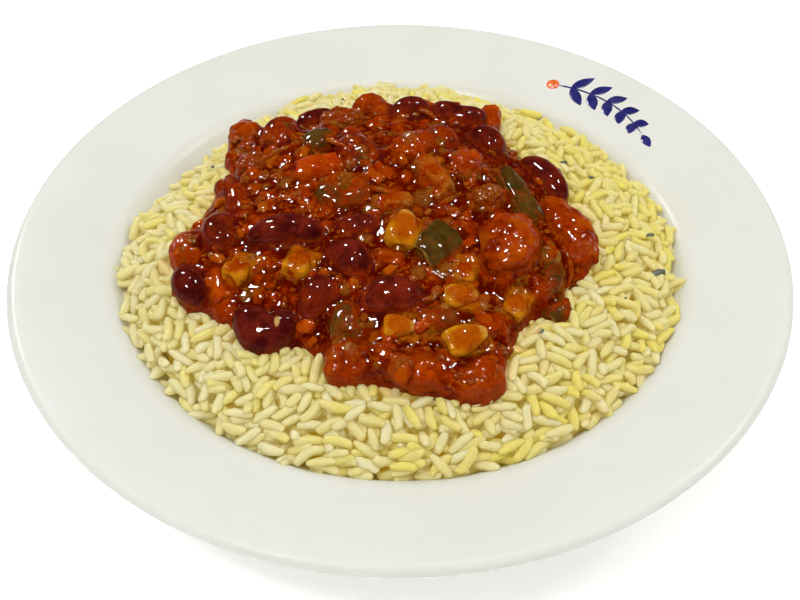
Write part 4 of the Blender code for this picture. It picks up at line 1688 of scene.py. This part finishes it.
def make_stage(stage):
    deselect()
    bpy.ops.mesh.primitive_plane_add(size=FLOOR_SIZE)
    floor = added("floor")
    paper = Finish("white_paper", roughness=0.7, emission_color=(1, 1, 1), emission_strength=0.22)
    grain = paper.rise(paper.noise(2 * MM, detail=2), 0.3, 0.7)
    paper.set(base_color=paper.mix(grain, (0.93, 0.93, 0.93), (0.95, 0.95, 0.95)))
    floor.data.materials.append(paper.material)
    middle = (0, 0, 30 * MM)
    area_light("key", (-0.30, -0.35, 0.85), middle, 0.10, stage.key, in_gloss=False)
    area_light("side", (0.62, 0.05, 0.70), middle, 0.09, stage.key * 0.45, in_gloss=False)
    for number, (*place, size) in enumerate(LAMPS):
        power = stage.lamps * (size / LAMP_SIZE) ** 2
        area_light(f"lamp_{number}", place, middle, size, power, in_diffuse=False)
    area_light("fill", (0, 0, 1.6), middle, 2.2, stage.fill, in_gloss=False)
    light_world(stage)
    place_camera(stage)


def light_world(stage):
    """White all round, with strengths of their own for the camera, for light and for gloss."""
    world = bpy.data.worlds.new("studio")
    bpy.context.scene.world = world
    world.use_nodes = True
    tree = world.node_tree
    background = tree.nodes["Background"]
    rays = tree.nodes.new("ShaderNodeLightPath")
    previous = stage.daylight
    for output, strength in (("Is Glossy Ray", stage.gloss), ("Is Camera Ray", 1.0)):
        choice = tree.nodes.new("ShaderNodeMix")
        tree.links.new(rays.outputs[output], choice.inputs["Factor"])
        if isinstance(previous, float):
            choice.inputs["A"].default_value = previous
        else:
            tree.links.new(previous, choice.inputs["A"])
        choice.inputs["B"].default_value = strength
        previous = choice.outputs["Result"]
    tree.links.new(previous, background.inputs["Strength"])
    background.inputs["Color"].default_value = (1, 1, 1, 1)


def place_camera(stage):
    target = Vector((0, stage.look_at, 0))
    back = Vector((0, -math.cos(stage.elevation), math.sin(stage.elevation)))
    bpy.ops.object.camera_add(location=target + back * stage.distance)
    camera = bpy.context.object
    camera.rotation_euler = back.to_track_quat("Z", "Y").to_euler()
    camera.data.lens = stage.lens
    camera.data.sensor_width = SENSOR_WIDTH
    camera.data.clip_start = 0.02
    bpy.context.scene.camera = camera
    view = bpy.context.scene.view_settings
    view.view_transform = "Standard"
    view.look = "None"


# Operators


class AddPlate(bpy.types.Operator):
    """Turn the plate, glaze it and print the sprig on its rim"""

    bl_idname = "chili.add_plate"
    bl_label = "Plate"

    def execute(self, context):
        plate = context.scene.chili_plate
        body = finished(make_plate(plate), "plate_glazed", glaze_finish(plate), "plate", "plate")
        leaves, berry = make_sprig(body)
        finished(leaves, "rim_leaves", print_finish("blue_print", plate.leaf), "plate")
        finished(berry, "rim_berry", print_finish("orange_print", plate.berry), "plate")
        return {"FINISHED"}


class AddRice(bpy.types.Operator):
    """Heap the rice: a core with relief, and the loose grains on it"""

    bl_idname = "chili.add_rice"
    bl_label = "Rice"

    def execute(self, context):
        rice = context.scene.chili_rice
        core = finished(make_rice_core(rice), "rice_core", core_finish(rice), "rice", "rice")
        plain, yellow = make_grains(rice, core)
        cream_grain = grain_finish("cream_grain", rice, rice.cream, rice.pale)
        yellow_grain = grain_finish("yellow_grain", rice, rice.cream, rice.yellow)
        finished(plain, "rice_grains", cream_grain, "rice")
        finished(yellow, "rice_grains_yellow", yellow_grain, "rice")
        return {"FINISHED"}


class AddSauce(bpy.types.Operator):
    """Pour the sauce round the pieces, with the lumps that lie under its skin"""

    bl_idname = "chili.add_sauce"
    bl_label = "Sauce"

    def execute(self, context):
        sauce = context.scene.chili_sauce
        finished(make_sauce(sauce), "sauce_skin", sauce_finish(sauce), "chili", "chili")
        return {"FINISHED"}


class AddBits(bpy.types.Operator):
    """Scatter the small bits and strands over the sauce, and flecks of herb on the rice"""

    bl_idname = "chili.add_bits"
    bl_label = "Small bits"

    def execute(self, context):
        sauce = context.scene.chili_sauce
        skin = bpy.data.objects["sauce_skin"]
        under = skin_tree()
        pieces = tree_of_nodes([node for kind in SOLIDS for node in nodes_of(kind)])
        loose = {
            "mince_bits": (mince_finish, "mince"),
            "tomato_bits": (tomato_finish, "tomato"),
            "onion_bits": (onion_finish, "onion"),
            "pepper_bits": (green_finish, "green_pepper"),
        }
        for kind, (finish, slot) in loose.items():
            bits = scatter_bits(kind, skin, pieces)
            coat_with_sauce(bits, under, BIT_FILM)
            finished(bits, kind, finish(sauce), slot)
        placed = {
            "corn_bits": (corn_finish, "corn", (0.62, 0.5), 0.75),
            "red_bits": (red_pepper_finish, "red_pepper", (0.75, 0.5), 0.8),
        }
        for kind, (finish, slot, sizes, sunk) in placed.items():
            bits = place_bits(kind, under, sizes, sunk)
            coat_with_sauce(bits, under, BIT_FILM)
            finished(bits, kind, finish(sauce), slot)
        strands = make_strands(under)
        coat_with_sauce(strands, under, BIT_FILM)
        finished(strands, "onion_strands", onion_finish(sauce), "onion")
        finished(make_herbs(), "herb_flecks", herb_finish(), None)
        return {"FINISHED"}


class AddBeans(bpy.types.Operator):
    """Lay the kidney beans"""

    bl_idname = "chili.add_beans"
    bl_label = "Kidney beans"

    def execute(self, context):
        finish = bean_finish(context.scene.chili_sauce)
        make_pieces("kidney_bean", bean_form(), "Y", finish, (7 * MM, 0.7 * MM))
        return {"FINISHED"}


class AddCorn(bpy.types.Operator):
    """Lay the corn kernels"""

    bl_idname = "chili.add_corn"
    bl_label = "Corn"

    def execute(self, context):
        finish = corn_finish(context.scene.chili_sauce)
        make_pieces("corn", corn_form(), "Z", finish, (4 * MM, 0.8 * MM))
        return {"FINISHED"}


class AddPeppers(bpy.types.Operator):
    """Lay the squares of green and red pepper"""

    bl_idname = "chili.add_peppers"
    bl_label = "Peppers"

    def execute(self, context):
        sauce = context.scene.chili_sauce
        form = slab_form(0.34)
        relief = 5 * MM, 1.3 * MM
        make_pieces("green_pepper", form, "Z", green_finish(sauce), relief)
        make_pieces("red_pepper", form, "Z", red_pepper_finish(sauce), relief)
        return {"FINISHED"}


class AddTomato(bpy.types.Operator):
    """Lay the lumps of tomato"""

    bl_idname = "chili.add_tomato"
    bl_label = "Tomato"

    def execute(self, context):
        finish = tomato_finish(context.scene.chili_sauce)
        form = lump_form(0.8, 0.40, boxy=0.92)
        make_pieces("tomato", form, "Z", finish, (5.5 * MM, 2.6 * MM))
        return {"FINISHED"}


class AddOnion(bpy.types.Operator):
    """Lay the stewed onion"""

    bl_idname = "chili.add_onion"
    bl_label = "Onion"

    def execute(self, context):
        finish = onion_finish(context.scene.chili_sauce)
        make_pieces("onion", slab_form(0.3), "Z", finish, (6 * MM, 4.2 * MM))
        return {"FINISHED"}


class AddMince(bpy.types.Operator):
    """Lay the large crumbs of mince"""

    bl_idname = "chili.add_mince"
    bl_label = "Mince"

    def execute(self, context):
        finish = mince_finish(context.scene.chili_sauce)
        make_pieces("mince", lump_form(0.5, 0.4), "Z", finish, (2.2 * MM, 1.8 * MM))
        return {"FINISHED"}


class AddStage(bpy.types.Operator):
    """Set up the floor, the lights and the camera"""

    bl_idname = "chili.add_stage"
    bl_label = "Stage"

    def execute(self, context):
        make_stage(context.scene.chili_stage)
        return {"FINISHED"}


OPERATORS = (
    AddPlate,
    AddRice,
    AddSauce,
    AddBits,
    AddBeans,
    AddCorn,
    AddPeppers,
    AddTomato,
    AddOnion,
    AddMince,
    AddStage,
)


class ChiliPanel(bpy.types.Panel):
    """Lists the pieces of the plate of chili"""

    bl_idname = "VIEW3D_PT_chili"
    bl_label = "Chili con carne"
    bl_space_type = "VIEW_3D"
    bl_region_type = "UI"
    bl_category = "Chili"

    def draw(self, context):
        for operator in OPERATORS:
            self.layout.operator(operator.bl_idname)
        for name in SETTINGS:
            box = self.layout.box()
            settings = getattr(context.scene, name)
            for key in settings.__annotations__:
                box.prop(settings, key)


SETTINGS = {
    "chili_plate": PlateSettings,
    "chili_rice": RiceSettings,
    "chili_sauce": SauceSettings,
    "chili_stage": StageSettings,
}


def register():
    for kind in (*SETTINGS.values(), *OPERATORS, ChiliPanel):
        bpy.utils.register_class(kind)
    for name, kind in SETTINGS.items():
        setattr(bpy.types.Scene, name, PointerProperty(type=kind))


def unregister():
    for name in SETTINGS:
        delattr(bpy.types.Scene, name)
    for kind in reversed((*SETTINGS.values(), *OPERATORS, ChiliPanel)):
        bpy.utils.unregister_class(kind)


def main():
    register()
    for operator in OPERATORS:
        group, name = operator.bl_idname.split(".")
        getattr(getattr(bpy.ops, group), name)()


if __name__ == "__main__":
    main()
